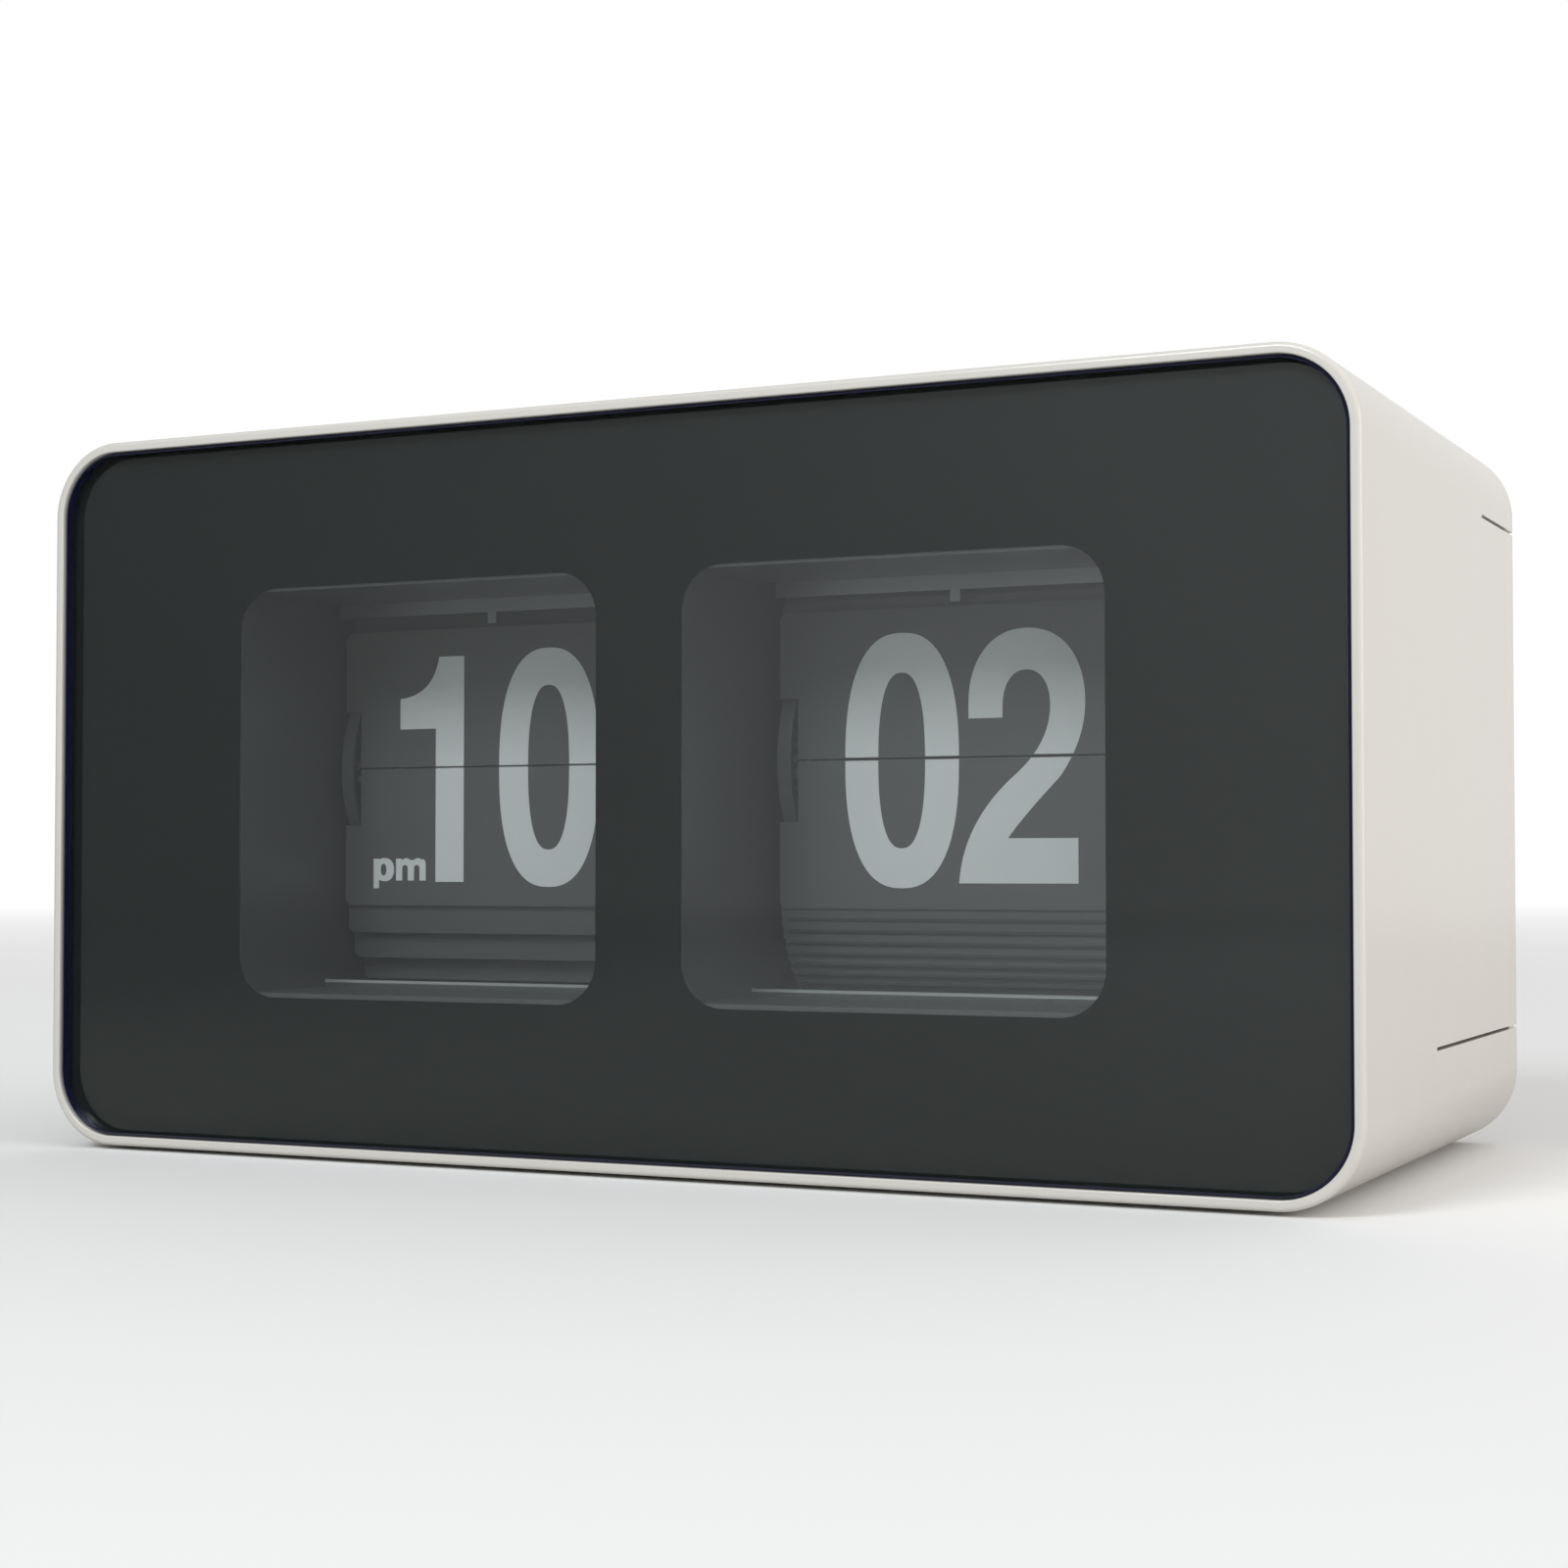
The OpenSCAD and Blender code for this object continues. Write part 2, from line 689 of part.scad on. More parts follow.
module motor_case() color(black) difference() {
    inset = [motor_wall, motor_wall, motor_wall];
    block(motor_low, motor_low + motor_box);
    block(motor_low + inset, motor_low + motor_box + [over, -motor_wall, -motor_wall]);
    tube(motor_x - over, motor_x + 2, motor_shaft_r + run, 0, motor_y, motor_z);
}

// The lid has a notch in its underside where the leads enter
module motor_lid() color(dark) {
    x0 = motor_low.x + motor_box.x;
    low = [x0, motor_low.y, motor_low.z];
    difference() {
        block(low, motor_high);
        block(low + [-over, motor_wall, motor_wall], motor_high - [motor_wall, motor_wall, motor_wall]);
        block(low + [0, 4, -over], low + [2, 12, motor_wall + 0.1]);
    }
}

// Copper winding between two bobbin cheeks
module motor_coil() color([0.72, 0.40, 0.22])
    translate([motor_x + 5.5, motor_low.y + 8, motor_low.z + 7]) {
        cylinder(h = 24, r = 3);
        for (z = [0, 23]) translate([0, 0, z]) cylinder(h = 1, r = 4);
    }

// Circuit board with its chip and its crystal can
module movement_board() color([0.16, 0.36, 0.22])
    translate([motor_x + 10.4, motor_low.y + 3, motor_low.z + 3]) {
        cube([0.8, 31, 14]);
        translate([-2.2, 22, 7]) cube([2.3, 8, 5]);
        translate([-1.4, 12, 7]) rotate([-90, 0, 0]) cylinder(h = 8, r = 1.45);
    }

// ---------- battery ----------

// Bracket with a floor, a front wall and a roof, fixed to the outside of the left side plate
module battery_holder() color(black) {
    x0 = -inner_x + 0.2;
    x1 = -plate_in - plate_t;
    low = bay_low - bay_wall;
    high = bay_high + bay_wall;
    along_x(x0, x1) difference() {
        translate([bay_front - bay_wall, low]) square([bay_back - bay_front + bay_wall, high - low]);
        translate([bay_front, bay_low]) square([bay_back - bay_front + over, bay_high - bay_low]);
    }
}

module battery_cell() color([0.55, 0.57, 0.60]) translate([bay_x, cell_y, cell_low]) {
    button_h = 1.5;
    cylinder(h = cell_len - button_h, d = cell_d);
    cylinder(h = cell_len, r = 3);
}

module battery_contact() color(contact_color)
    block([bay_x - 5, cell_y - 9, bay_high - contact_t], [bay_x + 5, cell_y + 9, bay_high]);

// ---------- swept tubes ----------

function unit(v) = v / norm(v);

// Direction of a path at its point i
function heading(path, i) = unit(path[min(i + 1, len(path) - 1)] - path[max(i - 1, 0)]);

// Side directions carried along a path, so that a swept tube doesn't twist
function sides_of(path) = [
    for (i = 0, n = unit(cross(heading(path, 0), [0.3, 0.5, 0.8]));
         i < len(path);
         i = i + 1, n = i < len(path) ? unit(n - heading(path, i) * (n * heading(path, i))) : n)
        n];

// Tube of radius r along a path, with flat ends
module swept(path, r) {
    facets = 8;
    n = sides_of(path);
    last = len(path) - 1;
    points = [for (i = [0:last], j = [0:facets - 1])
        path[i] + r * (cos(360 * j / facets) * n[i] + sin(360 * j / facets) * cross(n[i], heading(path, i)))];
    skin = [for (i = [0:last - 1], j = [0:facets - 1])
        let (k = (j + 1) % facets)
            [i * facets + j, (i + 1) * facets + j, (i + 1) * facets + k, i * facets + k]];
    ends = [[for (j = [0:facets - 1]) j], [for (j = [facets - 1:-1:0]) last * facets + j]];
    polyhedron(points, concat(skin, ends), convexity = 8);
}

// A route with its corners rounded by curves that start at distance bend from each corner
function rounded_route(points, bend) = concat(
    [points[0]],
    [for (i = [1:len(points) - 2], s = [0:0.25:1])
        let (a = points[i] + bend * unit(points[i - 1] - points[i]),
             b = points[i] + bend * unit(points[i + 1] - points[i]))
            (1 - s) * (1 - s) * a + 2 * s * (1 - s) * points[i] + s * s * b],
    [points[len(points) - 1]]);

// Conical coil spring under the cell
module battery_spring() color(contact_color) {
    wire_r = 0.5;
    turns = 3;
    steps = 72;
    wide_r = 9;
    narrow_r = 4.5;
    rise = spring_h - 2 * wire_r - 0.1;
    path = [for (i = [0:steps])
        let (f = i / steps, r = wide_r + (narrow_r - wide_r) * f, a = 360 * turns * f)
            [r * cos(a), r * sin(a), wire_r + 0.05 + rise * f]];
    translate([bay_x, cell_y, bay_low]) swept(path, wire_r);
}

// Last stretch of a lead: forward along the case's right side and up into the notch of the motor's lid
function to_motor(x, y, z) = let (end_x = motor_low.x + motor_box.x + 1)
    [[x, base_hd + 3, z], [x, y, z], [end_x, y, z], [end_x, y, motor_low.z + motor_wall]];

// The two leads run down from the battery bay, along behind the base plate and up to the motor
module lead_red() color([0.75, 0.12, 0.10]) {
    x = bay_x + 4;
    y = bay_front - bay_wall;
    low = [[x, y, bay_high - 4], [x, y - 4.5, bay_high - 4], [x, y - 4.5, 8], [x, base_hd + 3, 8]];
    swept(rounded_route(concat(low, to_motor(95, motor_low.y + 6, 8)), 3), lead_r);
}

module lead_black() color([0.08, 0.08, 0.08]) {
    x = bay_x - 4;
    low = [[x, cell_y, bay_low - bay_wall], [x, cell_y, 11.5], [x, base_hd + 3, 11.5]];
    swept(rounded_route(concat(low, to_motor(98, motor_low.y + 9, 11.5)), 3), lead_r);
}

// ---------- rear ----------

module rear_cover() color(case_color) {
    difference() {
        along_y(cover_front, y_back) outline(0);
        along_y(cover_face, y_back + over) outline(cover_rim);
        block([bay_x - bay_hw, cover_front - over, bay_low], [bay_x + bay_hw, y_back, bay_high]);
        block([thumb_x + thumb_t / 2 - slot_hw, cover_front - over, drum_z - slot_hh],
              [thumb_x + thumb_t / 2 + slot_hw, y_back, drum_z + slot_hh]);
        for (i = [0:vent_n - 1])
            along_y(cover_front - over, y_back)
                translate([0, drum_z + (i - (vent_n - 1) / 2) * vent_pitch]) rounded(vent_len, 1.8, 0.88);
        mirrored_x() for (z = [slit_low_z, slit_high_z])
            block([body_w / 2 - 0.6, cover_front - over, z - slit_w / 2],
                  [body_w / 2 + over, y_back + over, z + slit_w / 2]);
    }
    // Skirt tabs that locate the cover inside the case
    tab_top = body_h - wall - 0.2;
    for (sx = [-1, 1], z = [floor_z + 0.2, tab_top - skirt_t])
        block([sx * 45 - 15, cover_front - skirt_len, z], [sx * 45 + 15, cover_front + 0.1, z + skirt_t]);
    // Snap tabs behind the springy tongues of the case sides
    mirrored_x()
        block([inner_x - 0.2 - skirt_t, cover_front - skirt_len - 3, 83],
              [inner_x - 0.2, cover_front + 0.1, 94]);
}

module battery_door() color(case_color) {
    difference() {
        along_x(bay_x - door_hw, bay_x + door_hw) {
            translate([cover_front, barrel_z])
                square([2 * barrel_r, bay_high - door_gap - barrel_z]);
            translate([barrel_y, barrel_z]) circle(barrel_r);
        }
        // Finger grooves near the top edge
        for (z = [bay_high - 12.4:1.6:bay_high - 6])
            block([bay_x - 7, cover_face - 0.5, z], [bay_x + 7, cover_face + over, z + 0.8]);
    }
    // Hooks that reach behind the cover below the opening
    hook_y = cover_front - 0.4;
    for (s = [-1, 1])
        translate([bay_x + s * 8, 0, 0]) {
            block([-2, hook_y - door_hook_t, bay_low - 1.6], [2, hook_y, barrel_z + 1.2]);
            block([-2, hook_y - 0.1, barrel_z - 0.3], [2, cover_front + 0.1, barrel_z + 1.2]);
        }
}

housing_shell();
front_lens();
front_mask();
display_frame();
minute_leaf_retainer();
hour_leaf_retainer();
minute_disc_left();
minute_disc_right();
minute_sleeve();
minute_pinion();
minute_gear();
hour_disc_left();
hour_disc_right();
hour_sleeve();
hour_gear();
minute_leaves();
minute_front_leaf();
hour_leaves();
hour_front_leaf();
drum_axle();
axle_clips();
axle_spacers();
side_plate_left();
side_plate_right();
centre_bracket();
base_plate();
transfer_arbor();
transfer_wheel();
transfer_pinion();
motor_case();
motor_lid();
motor_coil();
movement_board();
motor_shaft();
motor_pinion();
set_shaft();
set_bush();
set_gear();
set_thumbwheel();
rear_cover();
battery_door();
battery_holder();
battery_cell();
battery_spring();
battery_contact();
lead_red();
lead_black();
rubber_feet();
chassis_screws();
plate_screws();
frame_screws();
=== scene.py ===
"""The looks of the flip number clock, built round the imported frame.

Sizes in this script are millimetres in the row frame: +X is the viewer's right, +Y the back, +Z up.
Meshes are made in millimetres and scaled to metres when they become objects.
"""

import json
import math

import bmesh
import bpy
from mathutils import Matrix, Vector


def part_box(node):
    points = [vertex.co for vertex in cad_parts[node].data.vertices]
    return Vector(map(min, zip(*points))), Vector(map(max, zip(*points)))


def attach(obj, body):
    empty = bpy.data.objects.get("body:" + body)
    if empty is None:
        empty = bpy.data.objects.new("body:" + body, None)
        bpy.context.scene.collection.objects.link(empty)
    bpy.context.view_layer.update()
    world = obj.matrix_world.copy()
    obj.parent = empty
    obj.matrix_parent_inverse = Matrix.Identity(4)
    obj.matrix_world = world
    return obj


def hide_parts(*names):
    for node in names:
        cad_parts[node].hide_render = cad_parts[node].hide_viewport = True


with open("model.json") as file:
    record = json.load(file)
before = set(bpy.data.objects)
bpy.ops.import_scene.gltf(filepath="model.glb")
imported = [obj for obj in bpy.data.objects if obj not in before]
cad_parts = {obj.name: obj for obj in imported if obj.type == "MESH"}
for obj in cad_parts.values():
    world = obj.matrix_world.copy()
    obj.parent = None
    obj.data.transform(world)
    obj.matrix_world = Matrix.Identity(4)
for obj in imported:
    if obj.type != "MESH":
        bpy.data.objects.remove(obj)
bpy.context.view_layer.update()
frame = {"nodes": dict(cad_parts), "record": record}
nodes = frame["nodes"]

MM = 0.001


def box(node):
    """Lowest and highest corner of a CAD node, in millimetres."""
    low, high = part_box(node)
    return Vector(low) / MM, Vector(high) / MM


# ---------- sizes ----------

case_low, case_high = box("housing_shell")
lens_low, lens_high = box("front_lens")
mask_low, mask_high = box("front_mask")
cover_low, cover_high = box("rear_cover")
door_low, door_high = box("battery_door")

CASE_MIDDLE = (0.0, (case_low.z + case_high.z) / 2)
CASE_HALF = (case_high.x, (case_high.z - case_low.z) / 2)
CORNER_R = 11.5
WALL = 2.4
RIM = 1.5
LEDGE = (3.5, 1.5)        # width and thickness of the ledge behind the print
FRONT_EDGE_R = 0.7
PANEL_INSET = RIM + 0.1   # from the case's outline to the edge of the panel and the print
PAST = 1.0                # how far a cutter runs past the faces that it cuts
SLIT_W = 0.5
SLITS = ((18.8, 55.0), (97.0, 21.0))  # height, and length forward from the case's rear edge

WINDOW = (63.2, 62.6)
WINDOW_R = 6.5
WINDOW_X = 38.6
WINDOW_Z = 55.5

DRUM_X = 39.4
SPLIT_Z = 60.0
HINGE_Y = -22.0
LEAF_FRONT_Y = -21.95
LEAF_BACK_Y = -21.75
LEAF_T = 0.2
LEAF_LENGTH = 22.1
PRINT_T = 0.02
AIR_GAP = 0.03         # between the clear panel and the print behind it
PIVOT_R = 17.0
DRUM_Y = -4.5
LEAF_LEAN = 12.0
TUNNEL_BACK = LEAF_FRONT_Y - 2.65
LIP_HIGHLIGHT = (1.2, 0.45)      # depth of the lip behind each tunnel floor, and height of the painted highlight on its top
LIP_TOP = 26.0


# ---------- mesh helpers ----------

def arc(cx, cz, rx, rz, start, end, steps):
    """Points along an ellipse's arc, angles in degrees."""
    turn = [math.radians(start + (end - start) * i / steps) for i in range(steps + 1)]
    return [(cx + rx * math.cos(a), cz + rz * math.sin(a)) for a in turn]


def ring(half_x, half_z, radius, middle=(0.0, 0.0), steps=14):
    """Points round a rectangle with round corners, anticlockwise as seen with X right and Z up."""
    points = []
    for quarter, (sx, sz) in enumerate(((1, 1), (-1, 1), (-1, -1), (1, -1))):
        cx, cz = middle[0] + sx * (half_x - radius), middle[1] + sz * (half_z - radius)
        points += arc(cx, cz, radius, radius, 90 * quarter, 90 * quarter + 90, steps)
    return points


def case_ring(inset):
    """The case's outline, drawn smaller by inset on every side."""
    return ring(CASE_HALF[0] - inset, CASE_HALF[1] - inset, CORNER_R - inset, CASE_MIDDLE, steps=20)


def skin(bm, rings, closed=False, caps=True, material=0):
    """Joins rings of points with faces. Each ring lists the same number of (x, y, z) points."""
    rows = [[bm.verts.new(p) for p in points] for points in rings]
    count = len(rows[0])
    pairs = list(zip(rows, rows[1:]))
    if closed:
        pairs.append((rows[-1], rows[0]))
    for a, b in pairs:
        for i in range(count):
            j = (i + 1) % count
            bm.faces.new((a[i], a[j], b[j], b[i])).material_index = material
    if caps and not closed:
        bm.faces.new(rows[0]).material_index = material
        bm.faces.new(list(reversed(rows[-1]))).material_index = material


def sweep(bm, profile, closed=False, caps=True, material=0):
    """Skins case outlines along a profile of (inset, y) points."""
    skin(bm, [[(x, y, z) for x, z in case_ring(inset)] for inset, y in profile], closed, caps, material)


def quarter(inset, y, r, start, end, steps):
    """Profile points (inset, y) along an arc round the centre (inset, y)."""
    return arc(inset, y, r, r, start, end, steps)


def add_box(bm, low, high, bevel=0.0):
    """Box between two corners, with its edges bevelled."""
    low, high = Vector(low), Vector(high)
    made = bmesh.ops.create_cube(bm, size=1.0)["verts"]
    bmesh.ops.scale(bm, vec=high - low, verts=made)
    bmesh.ops.translate(bm, vec=(low + high) / 2, verts=made)
    if bevel:
        edges = list({e for v in made for e in v.link_edges})
        bmesh.ops.bevel(bm, geom=edges, offset=bevel, segments=2, affect="EDGES", profile=0.5)


def add_slot(bm, middle, half_x, half_z, y0, y1, radius, steps=8):
    """Prism along Y with round corners, used as a cutter."""
    points = ring(half_x, half_z, radius, middle, steps)
    skin(bm, [[(x, y, z) for x, z in points] for y in (y0, y1)])


def add_rod(bm, x, y, z0, z1, r, segments=48):
    """Upright cylinder."""
    matrix = Matrix.Translation((x, y, (z0 + z1) / 2))
    bmesh.ops.create_cone(bm, cap_ends=True, segments=segments, radius1=r, radius2=r,
                          depth=z1 - z0, matrix=matrix)


def to_object(bm, name, materials):
    """Makes an object of a mesh drawn in millimetres."""
    bmesh.ops.recalc_face_normals(bm, faces=bm.faces)
    bmesh.ops.scale(bm, vec=(MM, MM, MM), verts=bm.verts)
    mesh = bpy.data.meshes.new(name)
    bm.to_mesh(mesh)
    bm.free()
    for m in materials:
        mesh.materials.append(m)
    obj = bpy.data.objects.new(name, mesh)
    bpy.context.scene.collection.objects.link(obj)
    return obj


def cut(obj, cutter):
    """Cuts a mesh drawn in millimetres out of an object."""
    tool = to_object(cutter, "cutter", [])
    boolean = obj.modifiers.new("cut", "BOOLEAN")
    boolean.operation = "DIFFERENCE"
    boolean.solver = "EXACT"
    boolean.object = tool
    bpy.context.view_layer.update()
    done = bpy.data.meshes.new_from_object(obj.evaluated_get(bpy.context.evaluated_depsgraph_get()))
    obj.modifiers.clear()
    old = obj.data
    obj.data = done
    done.name = obj.name
    bpy.data.meshes.remove(old)
    bpy.data.objects.remove(tool)


def smooth(obj, angle=32):
    """Smooth shading with sharp edges above an angle, and normals weighted by face area."""
    for polygon in obj.data.polygons:
        polygon.use_smooth = True
    obj.data.set_sharp_from_angle(angle=math.radians(angle))
    normals = obj.modifiers.new("normals", "WEIGHTED_NORMAL")
    normals.keep_sharp = True
    normals.weight = 100


# ---------- materials ----------

class Maker:
    """A Principled material and short ways to add nodes to it."""

    def __init__(self, name, color, roughness, metallic=0.0):
        self.material = bpy.data.materials.new(name)
        self.material.use_nodes = True
        self.tree = self.material.node_tree
        self.bsdf = self.tree.nodes["Principled BSDF"]
        self.color = color
        self.bsdf.inputs["Base Color"].default_value = (*color, 1)
        self.bsdf.inputs["Roughness"].default_value = roughness
        self.bsdf.inputs["Metallic"].default_value = metallic
        self.place = self.node("ShaderNodeTexCoord").outputs["Object"]

    def node(self, kind, **values):
        made = self.tree.nodes.new(kind)
        for key, value in values.items():
            setattr(made, key, value)
        return made

    def link(self, a, b):
        self.tree.links.new(a, b)

    def stretched(self, scale):
        """The object's coordinates, scaled by different amounts along X, Y and Z."""
        mapping = self.node("ShaderNodeMapping")
        mapping.inputs["Scale"].default_value = scale
        self.link(self.place, mapping.inputs["Vector"])
        return mapping.outputs["Vector"]

    def noise(self, scale, detail=3.0, rough=0.5, place=None):
        made = self.node("ShaderNodeTexNoise")
        made.inputs["Scale"].default_value = scale
        made.inputs["Detail"].default_value = detail
        made.inputs["Roughness"].default_value = rough
        self.link(place or self.place, made.inputs["Vector"])
        return made.outputs["Fac"]

    def spread(self, value, low, high, start=0.3, end=0.7):
        """Maps a 0 to 1 value to the range low to high."""
        made = self.node("ShaderNodeMapRange")
        made.inputs["From Min"].default_value = start
        made.inputs["From Max"].default_value = end
        made.inputs["To Min"].default_value = low
        made.inputs["To Max"].default_value = high
        self.link(value, made.inputs["Value"])
        return made.outputs["Result"]

    def mix(self, factor, a, b):
        """Mixes two colours, each a tuple or a socket."""
        made = self.node("ShaderNodeMix", data_type="RGBA")
        self.link(factor, made.inputs["Factor"])
        for key, value in (("A", a), ("B", b)):
            socket = next(s for s in made.inputs if s.name == key and s.type == "RGBA")
            if isinstance(value, tuple):
                socket.default_value = (*value, 1)
            else:
                self.link(value, socket)
        return next(s for s in made.outputs if s.type == "RGBA")

    def vary_color(self, value, amount):
        """Base colour that drifts by amount either way with a 0 to 1 value."""
        dark = tuple(c * (1 - amount) for c in self.color)
        light = tuple(c * (1 + amount) for c in self.color)
        self.link(self.mix(value, dark, light), self.bsdf.inputs["Base Color"])

    def vary_roughness(self, value, low, high):
        self.link(self.spread(value, low, high), self.bsdf.inputs["Roughness"])

    def bump(self, value, depth_mm):
        """Bump of a given depth."""
        made = self.node("ShaderNodeBump")
        made.inputs["Strength"].default_value = 1.0
        made.inputs["Distance"].default_value = depth_mm * MM
        self.link(value, made.inputs["Height"])
        self.link(made.outputs["Normal"], self.bsdf.inputs["Normal"])

    def above(self, axis, level_mm, width_mm=0.05):
        """1 where the coordinate along axis (0, 1 or 2) is over level, 0 under it."""
        split = self.node("ShaderNodeSeparateXYZ")
        self.link(self.place, split.inputs["Vector"])
        edge = ((level_mm - width_mm) * MM, (level_mm + width_mm) * MM)
        return self.spread(split.outputs[axis], 0, 1, *edge)

    def band(self, axis, low_mm, high_mm):
        """1 where the coordinate along axis lies between two levels, 0 elsewhere."""
        made = self.node("ShaderNodeMath", operation="SUBTRACT")
        self.link(self.above(axis, low_mm), made.inputs[0])
        self.link(self.above(axis, high_mm), made.inputs[1])
        return made.outputs["Value"]


def moulded(name, color, roughness, grain_mm, grain_depth, drift=0.04, spread=0.05):
    """Moulded plastic: slow colour drift, uneven gloss and a fine surface grain."""
    m = Maker(name, color, roughness)
    m.vary_color(m.noise(25, 4), drift)
    m.vary_roughness(m.noise(90, 4), roughness - spread, roughness + spread)
    m.bump(m.noise(1 / (grain_mm * MM), 2), grain_depth)
    return m.material


def gloss_case():
    """Warm white moulded shell: glossy, with the faint waviness of a large moulding."""
    m = Maker("case_gloss", (0.685, 0.66, 0.615), 0.24)
    m.vary_color(m.noise(18, 4), 0.012)
    m.vary_roughness(m.noise(60, 4), 0.215, 0.265)
    m.bump(m.noise(45, 2), 0.012)
    m.bsdf.inputs["Coat Weight"].default_value = 0.3
    m.bsdf.inputs["Coat Roughness"].default_value = 0.1
    return m.material


def sheet_metal(name, color, roughness, grain):
    """Plated or rolled sheet: a soft spangle, fine rolling lines and uneven gloss."""
    m = Maker(name, color, roughness, 1.0)
    m.vary_color(m.noise(60, 5, 0.6), 0.08)
    m.vary_roughness(m.noise(140, 5, 0.6), roughness - 0.08, roughness + 0.1)
    m.bump(m.noise(400, 3, place=m.stretched(grain)), 0.004)
    return m.material


def turned_metal(name, color, roughness):
    """Turned or ground metal: fine rings along the part and a slight tarnish."""
    m = Maker(name, color, roughness, 1.0)
    m.vary_color(m.noise(200, 4), 0.06)
    m.vary_roughness(m.noise(900, 3), roughness - 0.06, roughness + 0.08)
    m.bump(m.noise(500, 2, place=m.stretched((9, 1, 1))), 0.002)
    return m.material


def clear_face(name, straight, tint):
    """Clear acrylic surface: see-through, with a mirror gloss that grows towards a flat angle.

    straight is the share that it reflects when looked at straight on.
    """
    material = bpy.data.materials.new(name)
    material.use_nodes = True
    tree = material.node_tree
    tree.nodes.remove(tree.nodes["Principled BSDF"])
    output = tree.nodes["Material Output"]
    facing = tree.nodes.new("ShaderNodeLayerWeight")
    facing.inputs["Blend"].default_value = 0.5
    power = tree.nodes.new("ShaderNodeMath")
    power.operation = "POWER"
    power.inputs[1].default_value = 5.0
    scale = tree.nodes.new("ShaderNodeMath")
    scale.operation = "MULTIPLY_ADD"
    scale.inputs[1].default_value = 1 - straight
    scale.inputs[2].default_value = straight
    clear = tree.nodes.new("ShaderNodeBsdfTransparent")
    clear.inputs["Color"].default_value = (*tint, 1)
    gloss = tree.nodes.new("ShaderNodeBsdfGlossy")
    gloss.inputs["Color"].default_value = (0.95, 0.98, 1.0, 1)
    gloss.inputs["Roughness"].default_value = 0.05
    blend = tree.nodes.new("ShaderNodeMixShader")
    for a, b in ((facing.outputs["Facing"], power.inputs[0]), (power.outputs[0], scale.inputs[0]),
                 (scale.outputs[0], blend.inputs[0]), (clear.outputs[0], blend.inputs[1]),
                 (gloss.outputs[0], blend.inputs[2]), (blend.outputs[0], output.inputs["Surface"])):
        tree.links.new(a, b)
    return material


def black_print():
    """Screen print on the panel's back: near black, with a slow drift in the ink's depth."""
    m = Maker("black_print", (0.0105, 0.0128, 0.0125), 0.55)
    m.vary_color(m.noise(14, 3), 0.05)
    m.vary_roughness(m.noise(40, 3), 0.45, 0.55)
    m.bsdf.inputs["Specular IOR Level"].default_value = 0.18
    m.bsdf.inputs["Coat Weight"].default_value = 1.0
    m.bsdf.inputs["Coat Roughness"].default_value = 0.05
    return m.material


def satin_frame():
    """Dark satin moulding round the drums. The lips behind the tunnel floors carry a painted highlight: a
    lighter colour, with lower roughness.
    """
    m = Maker("frame_satin", (0.052, 0.056, 0.058), 0.36)
    m.vary_color(m.noise(60, 4, place=m.stretched((1, 4, 1))), 0.06)
    plain = m.bsdf.inputs["Base Color"].links[0].from_socket
    lip_highlight = m.node("ShaderNodeMath", operation="MULTIPLY")
    m.link(m.band(1, TUNNEL_BACK - LIP_HIGHLIGHT[0], TUNNEL_BACK + 0.1), lip_highlight.inputs[0])
    m.link(m.band(2, LIP_TOP - LIP_HIGHLIGHT[1], LIP_TOP + 0.1), lip_highlight.inputs[1])
    # painted highlight: the top of each lip is painted a lighter colour
    m.link(m.mix(lip_highlight.outputs["Value"], plain, (0.30, 0.31, 0.30)), m.bsdf.inputs["Base Color"])
    m.link(m.spread(lip_highlight.outputs["Value"], 0.36, 0.16, 0, 1), m.bsdf.inputs["Roughness"])
    m.bump(m.noise(300, 3), 0.003)
    return m.material


def leaf_film():
    """Satin film with faint streaks; the cut edges of the leaves are darker."""
    m = Maker("leaf_film", (0.058, 0.061, 0.061), 0.5)
    m.vary_color(m.noise(90, 4, place=m.stretched((1, 1, 5))), 0.05)
    face = m.bsdf.inputs["Base Color"].links[0].from_socket
    split = m.node("ShaderNodeSeparateXYZ")
    m.link(m.node("ShaderNodeTexCoord").outputs["Normal"], split.inputs["Vector"])
    across = m.node("ShaderNodeMath", operation="ABSOLUTE")
    m.link(split.outputs["Y"], across.inputs[0])
    m.link(m.mix(m.spread(across.outputs["Value"], 0, 1, 0.25, 0.4), (0.012, 0.012, 0.013), face),
           m.bsdf.inputs["Base Color"])
    m.vary_roughness(m.noise(150, 3), 0.45, 0.55)
    return m.material


def ink():
    """Pale numeral ink with a slight unevenness in its cover."""
    m = Maker("numeral_ink", (0.605, 0.63, 0.63), 0.5)
    m.vary_color(m.noise(250, 4), 0.02)
    m.vary_roughness(m.noise(400, 3), 0.44, 0.56)
    return m.material


def painted_tip_shade():
    """Painted shade along the tips of the leaves."""
    m = Maker("leaf_tip_shade", (0.024, 0.025, 0.026), 0.55)
    m.vary_color(m.noise(300, 3, place=m.stretched((0.2, 1, 1))), 0.1)
    m.vary_roughness(m.noise(300, 3), 0.5, 0.6)
    return m.material


def painted_edge_shade():
    """Dark blue painted on the panel's bevelled edge faces: painted shade of the gap between the panel
    and the rim.
    """
    m = Maker("panel_edge_shade", (0.008, 0.011, 0.045), 0.25)
    m.vary_color(m.noise(300, 3), 0.15)
    m.bump(m.noise(3000, 2), 0.001)
    return m.material


